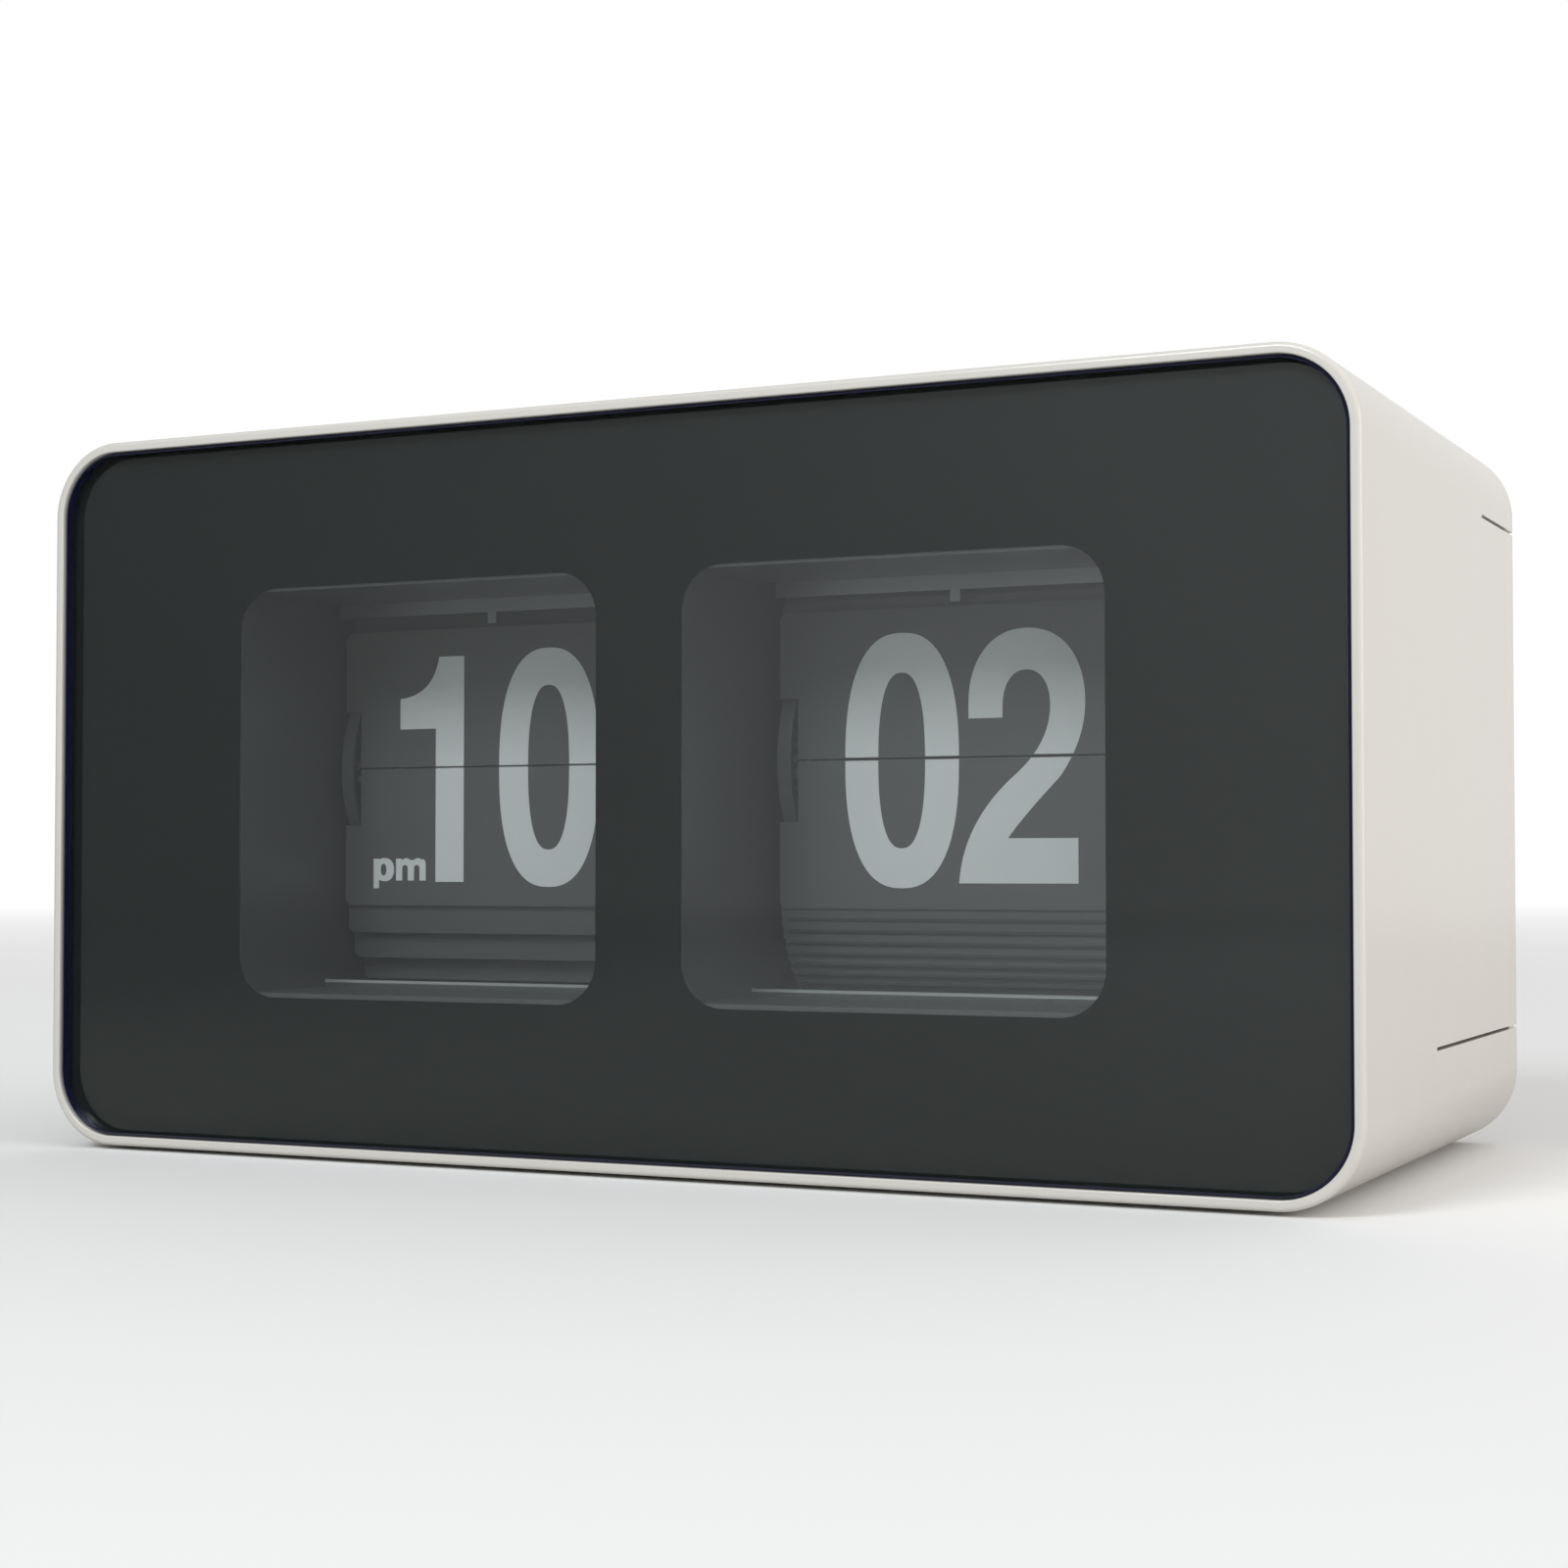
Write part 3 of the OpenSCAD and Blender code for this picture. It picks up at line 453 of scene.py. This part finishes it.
def circuit_board():
    """Green varnish over copper tracks on the board, black chip above it."""
    varnish = (0.02, 0.13, 0.06)
    copper = (0.05, 0.26, 0.12)
    board_top = box("movement_board")[1].x - 1.0
    m = Maker("circuit_board", varnish, 0.35)
    tracks = m.node("ShaderNodeTexBrick")
    tracks.inputs["Scale"].default_value = 260
    tracks.inputs["Mortar Size"].default_value = 0.05
    tracks.inputs["Color1"].default_value = (0, 0, 0, 1)
    tracks.inputs["Color2"].default_value = (0, 0, 0, 1)
    tracks.inputs["Mortar"].default_value = (1, 1, 1, 1)
    m.link(m.place, tracks.inputs["Vector"])
    board = m.mix(m.spread(tracks.outputs["Fac"], 0, 1, 0.4, 0.6), varnish, copper)
    color = m.mix(m.above(0, board_top), (0.03, 0.03, 0.03), board)
    m.link(color, m.bsdf.inputs["Base Color"])
    m.bump(m.noise(2500, 3), 0.01)
    return m.material


def winding():
    """Enamelled copper wire wound in close turns; its colour is darker in the grooves between turns, a
    painted shade.
    """
    m = Maker("winding", (0.62, 0.24, 0.09), 0.32, 1.0)
    turns = m.node("ShaderNodeTexWave", bands_direction="Z", wave_profile="SIN")
    turns.inputs["Scale"].default_value = 900
    m.link(m.place, turns.inputs["Vector"])
    # painted shade: the colour follows the turns' relief and is darker in the grooves
    m.vary_color(turns.outputs["Fac"], 0.25)
    m.bump(turns.outputs["Fac"], 0.08)
    return m.material


def cell_sleeve():
    """Plain printed sleeve of the cell between its two bare steel ends."""
    low, high = box("battery_cell")
    m = Maker("cell_sleeve", (0.055, 0.06, 0.075), 0.3)
    foot = m.above(2, low.z + 1.2)
    head = m.above(2, high.z - 3.2)
    band = m.above(2, high.z - 14)
    sleeve = m.mix(band, (0.05, 0.055, 0.07), (0.42, 0.40, 0.36))
    body = m.mix(foot, (0.6, 0.6, 0.6), sleeve)
    m.link(m.mix(head, body, (0.62, 0.62, 0.62)), m.bsdf.inputs["Base Color"])
    m.vary_roughness(m.noise(400, 3), 0.29, 0.38)
    m.bump(m.noise(900, 3), 0.006)
    return m.material


def rubber(name, color, roughness):
    """Rubber or soft insulation: a matt surface that is dusty in places."""
    return moulded(name, color, roughness, 0.35, 0.01, 0.15, 0.06)


MATERIALS = {
    "case_plastic": gloss_case(),
    "black_print": black_print(),
    "frame_plastic": satin_frame(),
    "black_plastic": moulded("black_satin", (0.022, 0.022, 0.023), 0.4, 0.3, 0.012, 0.12),
    "leaf_plastic": leaf_film(),
    "white_acetal": moulded("natural_acetal", (0.76, 0.75, 0.69), 0.38, 0.5, 0.006, 0.03),
    "zinc_steel": sheet_metal("zinc_sheet", (0.55, 0.56, 0.57), 0.36, (8, 1, 1)),
    "spring_steel": sheet_metal("spring_strip", (0.22, 0.225, 0.23), 0.37, (1, 8, 8)),
    "bright_steel": turned_metal("ground_rod", (0.62, 0.62, 0.63), 0.34),
    "screw_steel": turned_metal("plated_screw", (0.55, 0.55, 0.54), 0.36),
    "brass": turned_metal("turned_brass", (0.72, 0.52, 0.22), 0.34),
    "copper_wire": winding(),
    "board_green": circuit_board(),
    "cell_wrap": cell_sleeve(),
    "nickel_contact": turned_metal("nickel_wire", (0.66, 0.63, 0.56), 0.34),
    "red_insulation": rubber("red_insulation", (0.42, 0.02, 0.015), 0.4),
    "black_insulation": rubber("black_insulation", (0.02, 0.02, 0.02), 0.42),
    "foot_rubber": rubber("foot_rubber", (0.025, 0.025, 0.025), 0.65),
}
CLEAR = clear_face("panel_clear", 0.0, (0.97, 0.98, 0.98))
MATERIALS["clear_acrylic"] = CLEAR
HAZE = clear_face("panel_haze", 0.096, (0.97, 0.98, 0.98))
BONDED = clear_face("panel_bonded", 0.0, (0.98, 0.985, 0.985))
EDGE_SHADE = painted_edge_shade()
INK = ink()
TIP_SHADE = painted_tip_shade()

for row in frame["record"]["subparts"]:
    obj = nodes[row["node"]]
    for slot in obj.material_slots:
        slot.material = MATERIALS[row["material_slot"]]


# ---------- case ----------

def cut_slits(bm, y_rear, depth, lengths):
    """Thin boxes through both side walls, running forward from y_rear."""
    for side in (-1, 1):
        for (z, _), length in zip(SLITS, lengths):
            x0, x1 = sorted((side * (CASE_HALF[0] - depth), side * (CASE_HALF[0] + PAST)))
            add_box(bm, (x0, y_rear - length, z - SLIT_W / 2), (x1, y_rear + PAST, z + SLIT_W / 2))


def make_case():
    front, rear = case_low.y, case_high.y
    seat = mask_high.y
    r = FRONT_EDGE_R
    small = 0.2
    profile = quarter(r, front + r, r, 180, 270, 6)
    profile += quarter(RIM - small, front + small, small, 270, 360, 4)
    ledge_in, ledge_back = RIM + LEDGE[0], seat + LEDGE[1]
    profile += [(RIM, seat), (ledge_in, seat), (ledge_in, ledge_back), (WALL, ledge_back)]
    profile += [(WALL, rear), (small, rear), (0, rear - small)]
    bm = bmesh.new()
    sweep(bm, profile, closed=True)
    case = to_object(bm, "case", [MATERIALS["case_plastic"]])
    cutter = bmesh.new()
    cut_slits(cutter, rear, WALL + PAST, [length for _, length in SLITS])
    foot_high = box("rubber_feet")[1]
    screw_high = box("chassis_screws")[1]
    pockets = ((foot_high, 6.0, 0.1, foot_high.z), (screw_high, 2.6, 0.3, case_low.z + 1.3))
    for corner, radius, gap, top in pockets:
        for sx in (-1, 1):
            for sy in (-1, 1):
                x, y = sx * (corner.x - radius), sy * (corner.y - radius)
                add_rod(cutter, x, y, case_low.z - PAST, top, radius + gap)
    cut(case, cutter)
    smooth(case)
    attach(case, "root")
    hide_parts("housing_shell")


def make_cover():
    rear = cover_high.y
    face = rear - 2.0
    front = rear - 3.9
    r = 0.8
    small = 0.15
    rim = 2.0
    profile = [(small, front), (0, front + small)] + quarter(r, rear - r, r, 180, 90, 6)
    profile += quarter(rim - small, rear - small, small, 90, 0, 3)
    profile += [(rim, face + small), (rim + small, face)]
    bm = bmesh.new()
    sweep(bm, profile)
    cover = to_object(bm, "cover", [MATERIALS["case_plastic"]])
    cutter = bmesh.new()
    wheel_low, wheel_high = box("set_thumbwheel")
    wheel_hub = 0.7
    slot_x = (wheel_low.x + wheel_hub + wheel_high.x) / 2
    slot_half = (4.5, 16.0)
    add_slot(cutter, (slot_x, SPLIT_Z), *slot_half, front - PAST, rear, 0.8)
    vents, pitch, vent_half = 7, 4.5, (22.0, 0.9)
    for i in range(vents):
        z = SPLIT_Z + (i - (vents - 1) / 2) * pitch
        add_slot(cutter, (0, z), *vent_half, front - PAST, rear, 0.88)
    gap = 0.3
    bay_low = (door_low.x - gap, front - PAST, 24.0)
    bay_high = (door_high.x + gap, rear, door_high.z + gap)
    add_box(cutter, bay_low, bay_high)
    slit_depth = 0.6
    cut_slits(cutter, rear, slit_depth, [rear - front + PAST] * len(SLITS))
    cut(cover, cutter)
    tabs = bmesh.new()
    tabs.from_mesh(cover.data)
    bmesh.ops.scale(tabs, vec=(1 / MM, 1 / MM, 1 / MM), verts=tabs.verts)
    tab_t, tab_len, side_tab_len = 1.6, 6.0, 9.0
    tab_gap, sunk, bevel = 0.2, 0.05, 0.25
    low_z = case_low.z + WALL + tab_gap
    high_z = case_high.z - WALL - tab_gap - tab_t
    for x in (-45, 45):
        for z in (low_z, high_z):
            add_box(tabs, (x - 15, front - tab_len, z), (x + 15, front + sunk, z + tab_t), bevel)
    inner = CASE_HALF[0] - WALL - tab_gap
    for x in (-inner, inner - tab_t):
        add_box(tabs, (x, front - side_tab_len, 83), (x + tab_t, front + sunk, 94), bevel)
    name = cover.name
    bpy.data.objects.remove(cover)
    cover = to_object(tabs, name, [MATERIALS["case_plastic"]])
    smooth(cover)
    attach(cover, "rear_cover")
    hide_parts("rear_cover")


def window_ring(side):
    """Outline of one window in the print."""
    return ring(WINDOW[0] / 2, WINDOW[1] / 2, WINDOW_R, (side * WINDOW_X, WINDOW_Z))


def make_lens():
    """Clear panel whose bevelled edges carry dark blue painted shade. Its back carries the gloss and haze
    of the windows.
    """
    front, back = lens_low.y, lens_high.y - AIR_GAP
    bevel = 0.4
    near = 0.001
    profile = [(PANEL_INSET + bevel, front), (PANEL_INSET, front + bevel), (PANEL_INSET, back)]
    bm = bmesh.new()
    # material 1 puts the painted edge shade on the bevel and the sides
    sweep(bm, profile, caps=False, material=1)
    bm.faces.new([v for v in bm.verts if abs(v.co.y - front) < near]).material_index = 0
    edges = [e for e in bm.edges if all(abs(v.co.y - back) < near for v in e.verts)]
    for side in (-1, 1):
        window = bm.faces.new([bm.verts.new((x, back, z)) for x, z in window_ring(side)])
        window.material_index = 2
        edges += window.edges
    filled = bmesh.ops.triangle_fill(bm, edges=edges, use_beauty=True)["geom"]
    for item in filled:
        if isinstance(item, bmesh.types.BMFace):
            item.material_index = 3
    lens = to_object(bm, "panel", [CLEAR, EDGE_SHADE, HAZE, BONDED])
    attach(lens, "root")
    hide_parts("front_lens")


def make_mask():
    """Black print on the panel's back, with the two window openings."""
    bm = bmesh.new()
    sweep(bm, [(PANEL_INSET, mask_low.y), (PANEL_INSET, mask_high.y)])
    mask = to_object(bm, "print", [MATERIALS["black_print"]])
    cutter = bmesh.new()
    for side in (-1, 1):
        depths = (mask_low.y - PAST, mask_high.y + PAST)
        skin(cutter, [[(x, y, z) for x, z in window_ring(side)] for y in depths])
    cut(mask, cutter)
    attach(mask, "root")
    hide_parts("front_mask")


# ---------- numerals ----------

CAP_BASE = -18.3       # baseline below the split line
CAP_TOP = 17.7         # top of a flat numeral above the split line
OVERSHOOT = 0.75
STROKE = 5.3
LABEL_PITCH = 4.35     # from the left edge of the p to that of the m


def superellipse(cx, cz, rx, rz, power=2.45, start=0, end=360, steps=64):
    """Points round a superellipse; with power 2 it's an ellipse."""
    points = []
    for i in range(steps + 1):
        a = math.radians(start + (end - start) * i / steps)
        c, s = math.cos(a), math.sin(a)
        points.append((cx + rx * math.copysign(abs(c) ** (2 / power), c),
                       cz + rz * math.copysign(abs(s) ** (2 / power), s)))
    if abs(end - start) >= 360:
        points.pop()
    return points


def curve_through(a, b, c, steps=12):
    """Quadratic curve from a to c that is pulled towards b."""
    points = []
    for i in range(steps + 1):
        t = i / steps
        at_a, at_b, at_c = (1 - t) ** 2, 2 * t * (1 - t), t * t
        points.append(tuple(at_a * p + at_b * q + at_c * r for p, q, r in zip(a, b, c)))
    return points


def zero():
    top, bottom = CAP_TOP + OVERSHOOT, CAP_BASE - OVERSHOOT
    middle, half = (top + bottom) / 2, (top - bottom) / 2
    return [superellipse(9.1, middle, 9.1, half), superellipse(9.1, middle, 3.75, half - 5.85)]


def one():
    right, flag_left = 12.1, 0.0
    left = right - STROKE
    flag_low, flag_top = 6.2, 11.1
    curve = curve_through((flag_left, flag_top), (6.3, 11.6), (left + 0.6, CAP_TOP))
    return [[(left, CAP_BASE), (left, flag_low), (flag_left, flag_low)] + curve
            + [(right, CAP_TOP), (right, CAP_BASE)]]


def two():
    top = CAP_TOP + OVERSHOOT
    hook_low, base_top = 5.6, -11.8
    left, right = 1.5, 19.4
    hook_right, inner_right = left + STROKE, right - STROKE
    middle, shoulder = (left + right) / 2, 7.6
    outer = superellipse(middle, shoulder, right - middle, top - shoulder, 2.2, 180, 0, 32)
    outer_low = curve_through((right, shoulder), (right, 2.2), (15.6, -3.0), 12)
    outer_end = curve_through((15.6, -3.0), (9.6, -9.0), (7.6, base_top), 12)
    inner_half = (inner_right - hook_right) / 2
    inner = superellipse(middle, shoulder - 0.4, inner_half, top - shoulder - 5.6, 2.2, 0, 180, 28)
    inner_low = curve_through((8.3, -3.0), (inner_right, 1.6), (inner_right, shoulder - 0.4), 12)
    inner_end = curve_through((0.0, CAP_BASE), (0.6, -9.6), (8.3, -3.0), 14)
    return [[(left, hook_low)] + outer + outer_low[1:] + outer_end[1:]
            + [(18.3, base_top), (18.3, CAP_BASE)] + inner_end + inner_low[1:] + inner[1:]
            + [(hook_right, hook_low)]]


def three():
    top, bottom = CAP_TOP + OVERSHOOT, CAP_BASE - OVERSHOOT
    left, right = 0.9, 18.4
    middle = (left + right) / 2
    inner = middle - left - STROKE
    waist = 0.9
    upper, lower = 9.2, -8.9
    outer_top = superellipse(middle, upper, right - middle - 0.3, top - upper, 2.2, 180, -20, 30)
    outer_low = superellipse(middle, lower, right - middle, lower - bottom, 2.2, 35, -180, 34)
    inner_low = superellipse(middle, lower, inner, lower - bottom - 5.6, 2.2, -180, 60, 30)
    inner_top = superellipse(middle, upper, inner, top - upper - 5.6, 2.2, -55, 180, 30)
    return [[(left, 5.6)] + outer_top + [(14.6, waist)] + outer_low
            + [(left, -5.4), (left + STROKE, -5.4)] + inner_low
            + [(10.6, -1.6), (7.4, -1.6), (7.4, 3.2), (10.6, 3.2)] + inner_top
            + [(left + STROKE, 5.6)]]


def small_p():
    stem, height, descent = 1.05, 3.5, 1.25
    base = CAP_BASE + 0.2
    round_bowl = superellipse(2.15, base + height / 2, 1.8, height / 2 + 0.12, 2.3, 180, -180)
    bowl = [point for point in round_bowl if point[0] > stem]
    hole = superellipse(1.95, base + height / 2, 0.55, 0.95, 2.2, steps=32)
    left = [(0, base - descent), (0, base + height), (stem, base + height)]
    return [left + bowl + [(stem, base - descent)], hole]


def small_m():
    stem, height, pitch = 1.2, 3.5, 2.25
    base = CAP_BASE + 0.2
    r = 0.5
    outline = [(0, base), (0, base + height)]
    outline += [(stem * 0.9, base + height), (stem, base + height - 0.35)]
    for k in (0, 1):
        x0 = stem + k * pitch
        outline += arc(x0 + (pitch - stem) / 2 + 0.25, base + height - 0.75, 0.95, 0.85, 140, 40, 8)
    x_end = 2 * pitch + stem
    outline += arc(x_end - 0.9, base + height - 0.95, 0.9, 1.05, 60, 0, 6)
    outline += [(x_end, base), (x_end - stem, base)]
    outline += [(x_end - stem, base + height - 1.5)]
    gap = pitch - stem
    outline += arc(x_end - stem - gap / 2, base + height - 1.5, gap / 2, r, 0, 180, 8)
    outline += [(pitch + stem, base), (pitch, base), (pitch, base + height - 1.5)]
    outline += arc(stem + gap / 2, base + height - 1.5, gap / 2, r, 0, 180, 8)
    outline += [(stem, base)]
    return [outline]


def flat_mesh(outlines):
    """Fills outlines of (x, z), holes included: a thin closed mesh between y 0 and -PRINT_T."""
    data = bpy.data.curves.new("glyph", "CURVE")
    data.dimensions = "2D"
    data.fill_mode = "BOTH"
    data.extrude = PRINT_T / 2
    for outline in outlines:
        spline = data.splines.new("POLY")
        spline.points.add(len(outline) - 1)
        for point, (x, z) in zip(spline.points, outline):
            point.co = (x, z, 0, 1)
        spline.use_cyclic_u = True
    obj = bpy.data.objects.new("glyph", data)
    bpy.context.scene.collection.objects.link(obj)
    mesh = obj.to_mesh()
    bm = bmesh.new()
    bm.from_mesh(mesh)
    obj.to_mesh_clear()
    bpy.data.objects.remove(obj)
    bpy.data.curves.remove(data)
    bmesh.ops.remove_doubles(bm, verts=bm.verts, dist=0.0005)
    stand = Matrix.Translation((0, -PRINT_T / 2, 0)) @ Matrix.Rotation(math.radians(90), 4, "X")
    bmesh.ops.transform(bm, matrix=stand, verts=bm.verts)
    return bm


def half_of(bm, upper, gap):
    """Keeps the part of a mesh that is gap above or below the split line, and closes the cut."""
    sign = 1 if upper else -1
    geometry = bm.verts[:] + bm.edges[:] + bm.faces[:]
    made = bmesh.ops.bisect_plane(bm, geom=geometry, plane_co=(0, 0, sign * gap), plane_no=(0, 0, -sign),
                                  clear_outer=True)
    edges = [e for e in made["geom_cut"] if isinstance(e, bmesh.types.BMEdge)]
    if edges:
        bmesh.ops.holes_fill(bm, edges=edges, sides=0)


GLYPHS = {"0": zero, "1": one, "2": two, "3": three}
WIDTHS = {"0": 18.2, "1": 12.1, "2": 19.4, "3": 18.4}


def number_mesh(text, left, spacing, upper, gap, label=None):
    """One half of a printed number. left is the first digit's left edge from the drum's middle."""
    bm = bmesh.new()
    x = left
    for digit in text:
        part = flat_mesh(GLYPHS[digit]())
        bmesh.ops.translate(part, vec=(x, 0, 0), verts=part.verts)
        x += WIDTHS[digit] + spacing
        half_of(part, upper, gap)
        append(bm, part)
    if label and not upper:
        for outlines, shift in ((small_p(), 0), (small_m(), LABEL_PITCH)):
            part = flat_mesh(outlines)
            bmesh.ops.translate(part, vec=(label + shift, 0, 0), verts=part.verts)
            append(bm, part)
    return bm


def append(bm, part):
    """Adds part's mesh to bm."""
    mesh = bpy.data.meshes.new("part")
    part.to_mesh(mesh)
    part.free()
    bm.from_mesh(mesh)
    bpy.data.meshes.remove(mesh)


def waiting_place(side, step):
    """Where the first waiting leaf's print lies: pivot place and lean."""
    t = math.radians(step)
    pivot = Vector((side * DRUM_X, DRUM_Y - PIVOT_R * math.cos(t), SPLIT_Z + PIVOT_R * math.sin(t)))
    lean = step / 2 - LEAF_LEAN * math.sin(t) + 90 * (step / 180) ** 3
    front = Matrix.Translation((0, -LEAF_T / 2, 0))
    return Matrix.Translation(pivot) @ Matrix.Rotation(math.radians(-lean), 4, "X") @ front


def make_tip_shades(name, side, half_x, step, count):
    """Strips of painted shade along the lower tips of the fallen leaves that show under the first one."""
    height = 0.4
    bm = bmesh.new()
    for k in range(1, count + 1):
        t = math.radians(step * k)
        y = DRUM_Y - PIVOT_R * math.cos(t) - LEAF_T / 2
        tip = SPLIT_Z - PIVOT_R * math.sin(t) - LEAF_LENGTH
        low = (side * DRUM_X - half_x, y - PRINT_T, tip)
        add_box(bm, low, (side * DRUM_X + half_x, y, tip + height))
    tip_shades = to_object(bm, name, [TIP_SHADE])
    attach(tip_shades, "root")


def make_prints(name, side, body, number, following, left, spacing, step, gap, label=None):
    """Numerals of one drum: the shown pair, the next pair on the leaf's back and on the leaf behind."""
    shown = Matrix.Translation((side * DRUM_X, LEAF_FRONT_Y, SPLIT_Z))
    hinge = Matrix.Translation((0, HINGE_Y, SPLIT_Z))
    turn = hinge @ Matrix.Rotation(math.radians(180), 4, "X") @ hinge.inverted()
    fallen_face = 2 * HINGE_Y - LEAF_BACK_Y
    fallen = Matrix.Translation((side * DRUM_X, fallen_face, SPLIT_Z))
    jobs = (
        (f"{name}_upper", body, number, True, shown),
        (f"{name}_lower", "root", number, False, shown),
        (f"{name}_next_lower", body, following, False, turn @ fallen),
        (f"{name}_next_upper", "root", following, True, waiting_place(side, step)),
    )
    for piece_name, rides, text, upper, place in jobs:
        bm = number_mesh(text, left, spacing, upper, gap, label)
        bmesh.ops.transform(bm, matrix=place, verts=bm.verts)
        piece = to_object(bm, piece_name, [INK])
        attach(piece, rides)


make_case()
make_cover()
make_lens()
make_mask()
# painted shade along the tips of the fallen minute leaves
make_tip_shades("minute_tip_shades", 1, 28.4, 6, 8)
make_prints("minute_print", 1, "minute_leaf", "02", "03", -18.7, 0.0, 6, 0.25)
make_prints("hour_print", -1, "hour_leaf", "10", "11", -18.9, 6.6, 15, 0.13, label=-24.0)


# ---------- floor, light and camera ----------

STUDIO_SIDES = (-0.9, -0.18)   # directions along X between which the studio grows brighter
STUDIO_LIGHT = (0.06, 0.8)
FLOOR_FADE = (0.3, 2.4)        # distances in metres over which the floor fades away
FLOOR_SIDES = (-0.5, 0.05)     # places along X in metres between which it bounces more light
FLOOR_BOUNCE = ((0.28, 0.28, 0.28), (0.67, 0.67, 0.66))


def make_floor():
    """Plain floor, pale where the camera sees it and fading to white far away.

    It bounces less light than it shows, and fades to the brightness of the studio round it.
    """
    bm = bmesh.new()
    bmesh.ops.create_grid(bm, x_segments=1, y_segments=1, size=6000)
    floor = to_object(bm, "floor", [])
    m = Maker("floor_paper", (0.9, 0.9, 0.9), 0.9)
    m.vary_color(m.noise(3, 3), 0.01)
    far = m.node("ShaderNodeVectorMath", operation="LENGTH")
    m.link(m.place, far.inputs[0])
    fade = m.spread(far.outputs["Value"], 0, 1, *FLOOR_FADE)
    toward = m.node("ShaderNodeVectorMath", operation="NORMALIZE")
    m.link(m.place, toward.inputs[0])
    across = m.node("ShaderNodeSeparateXYZ")
    m.link(toward.outputs["Vector"], across.inputs["Vector"])
    white = m.node("ShaderNodeEmission")
    studio = m.node("ShaderNodeEmission")
    m.link(m.spread(across.outputs["X"], *STUDIO_LIGHT, *STUDIO_SIDES), studio.inputs["Strength"])
    bounce = m.node("ShaderNodeBsdfDiffuse")
    here = m.node("ShaderNodeSeparateXYZ")
    m.link(m.place, here.inputs["Vector"])
    m.link(m.mix(m.spread(here.outputs["X"], 0, 1, *FLOOR_SIDES), *FLOOR_BOUNCE), bounce.inputs["Color"])
    shown, lit, seen = (m.node("ShaderNodeMixShader") for _ in range(3))
    ray = m.node("ShaderNodeLightPath")
    for mixed, factor, near, other in ((shown, fade, m.bsdf, white), (lit, fade, bounce, studio),
                                       (seen, ray.outputs["Is Camera Ray"], lit, shown)):
        m.link(factor, mixed.inputs[0])
        m.link(near.outputs[0], mixed.inputs[1])
        m.link(other.outputs[0], mixed.inputs[2])
    m.link(seen.outputs[0], m.tree.nodes["Material Output"].inputs["Surface"])
    floor.data.materials.append(m.material)


def area_light(name, place, target, size, power, color):
    """Rectangular light; places and size in metres."""
    data = bpy.data.lights.new(name, "AREA")
    data.shape = "RECTANGLE"
    data.size, data.size_y = size
    data.energy = power
    data.color = color
    light = bpy.data.objects.new(name, data)
    light.location = Vector(place)
    light.rotation_mode = "QUATERNION"
    light.rotation_quaternion = (Vector(target) - Vector(place)).to_track_quat("-Z", "Y")
    bpy.context.scene.collection.objects.link(light)


def make_world():
    """White backdrop; as a light it is dimmer, and brighter on the right than on the left."""
    world = bpy.data.worlds.new("studio")
    world.use_nodes = True
    tree = world.node_tree
    light = tree.nodes["Background"]
    place = tree.nodes.new("ShaderNodeTexCoord")
    split = tree.nodes.new("ShaderNodeSeparateXYZ")
    strength = tree.nodes.new("ShaderNodeMapRange")
    for key, value in zip(("From Min", "From Max", "To Min", "To Max"), STUDIO_SIDES + STUDIO_LIGHT):
        strength.inputs[key].default_value = value
    backdrop = tree.nodes.new("ShaderNodeBackground")
    seen = tree.nodes.new("ShaderNodeMixShader")
    ray = tree.nodes.new("ShaderNodeLightPath")
    light.inputs["Color"].default_value = (1, 1, 1, 1)
    backdrop.inputs["Color"].default_value = (1, 1, 1, 1)
    for a, b in ((place.outputs["Generated"], split.inputs[0]),
                 (split.outputs["X"], strength.inputs["Value"]),
                 (strength.outputs["Result"], light.inputs["Strength"]),
                 (ray.outputs["Is Camera Ray"], seen.inputs[0]), (light.outputs[0], seen.inputs[1]),
                 (backdrop.outputs[0], seen.inputs[2]),
                 (seen.outputs[0], tree.nodes["World Output"].inputs["Surface"])):
        tree.links.new(a, b)
    bpy.context.scene.world = world
    bpy.context.scene.view_settings.view_transform = "Standard"


def make_camera():
    """Camera from the fit of the case's edges: place in mm, yaw and pitch in degrees."""
    place = Vector((183.591, -372.808, 44.73))
    yaw, pitch, roll = (math.radians(a) for a in (25.175, 1.722, -0.046))
    forward = Vector((-math.sin(yaw) * math.cos(pitch), math.cos(yaw) * math.cos(pitch), math.sin(pitch)))
    right = Vector((math.cos(yaw), math.sin(yaw), 0))
    up = right.cross(forward)
    side = right * math.cos(roll) + up * math.sin(roll)
    top = -right * math.sin(roll) + up * math.cos(roll)
    data = bpy.data.cameras.new("camera")
    data.sensor_width = 36
    data.lens = 59.98
    data.shift_x = -0.03125
    data.clip_start, data.clip_end = 0.01, 50
    camera = bpy.data.objects.new("camera", data)
    turn = Matrix((side, top, -forward)).transposed().to_4x4()
    camera.matrix_world = Matrix.Translation(place * MM) @ turn
    bpy.context.scene.collection.objects.link(camera)
    bpy.context.scene.camera = camera


make_floor()
make_world()
area_light("key", (-0.24, -1.27, 1.0), (0, 0, 0.055), (0.5, 0.5), 10.2, (0.93, 0.98, 1.0))
area_light("fill", (1.6, -0.1, 0.35), (0, 0, 0.05), (1.0, 0.8), 7.6, (1.0, 0.9, 0.81))
make_camera()
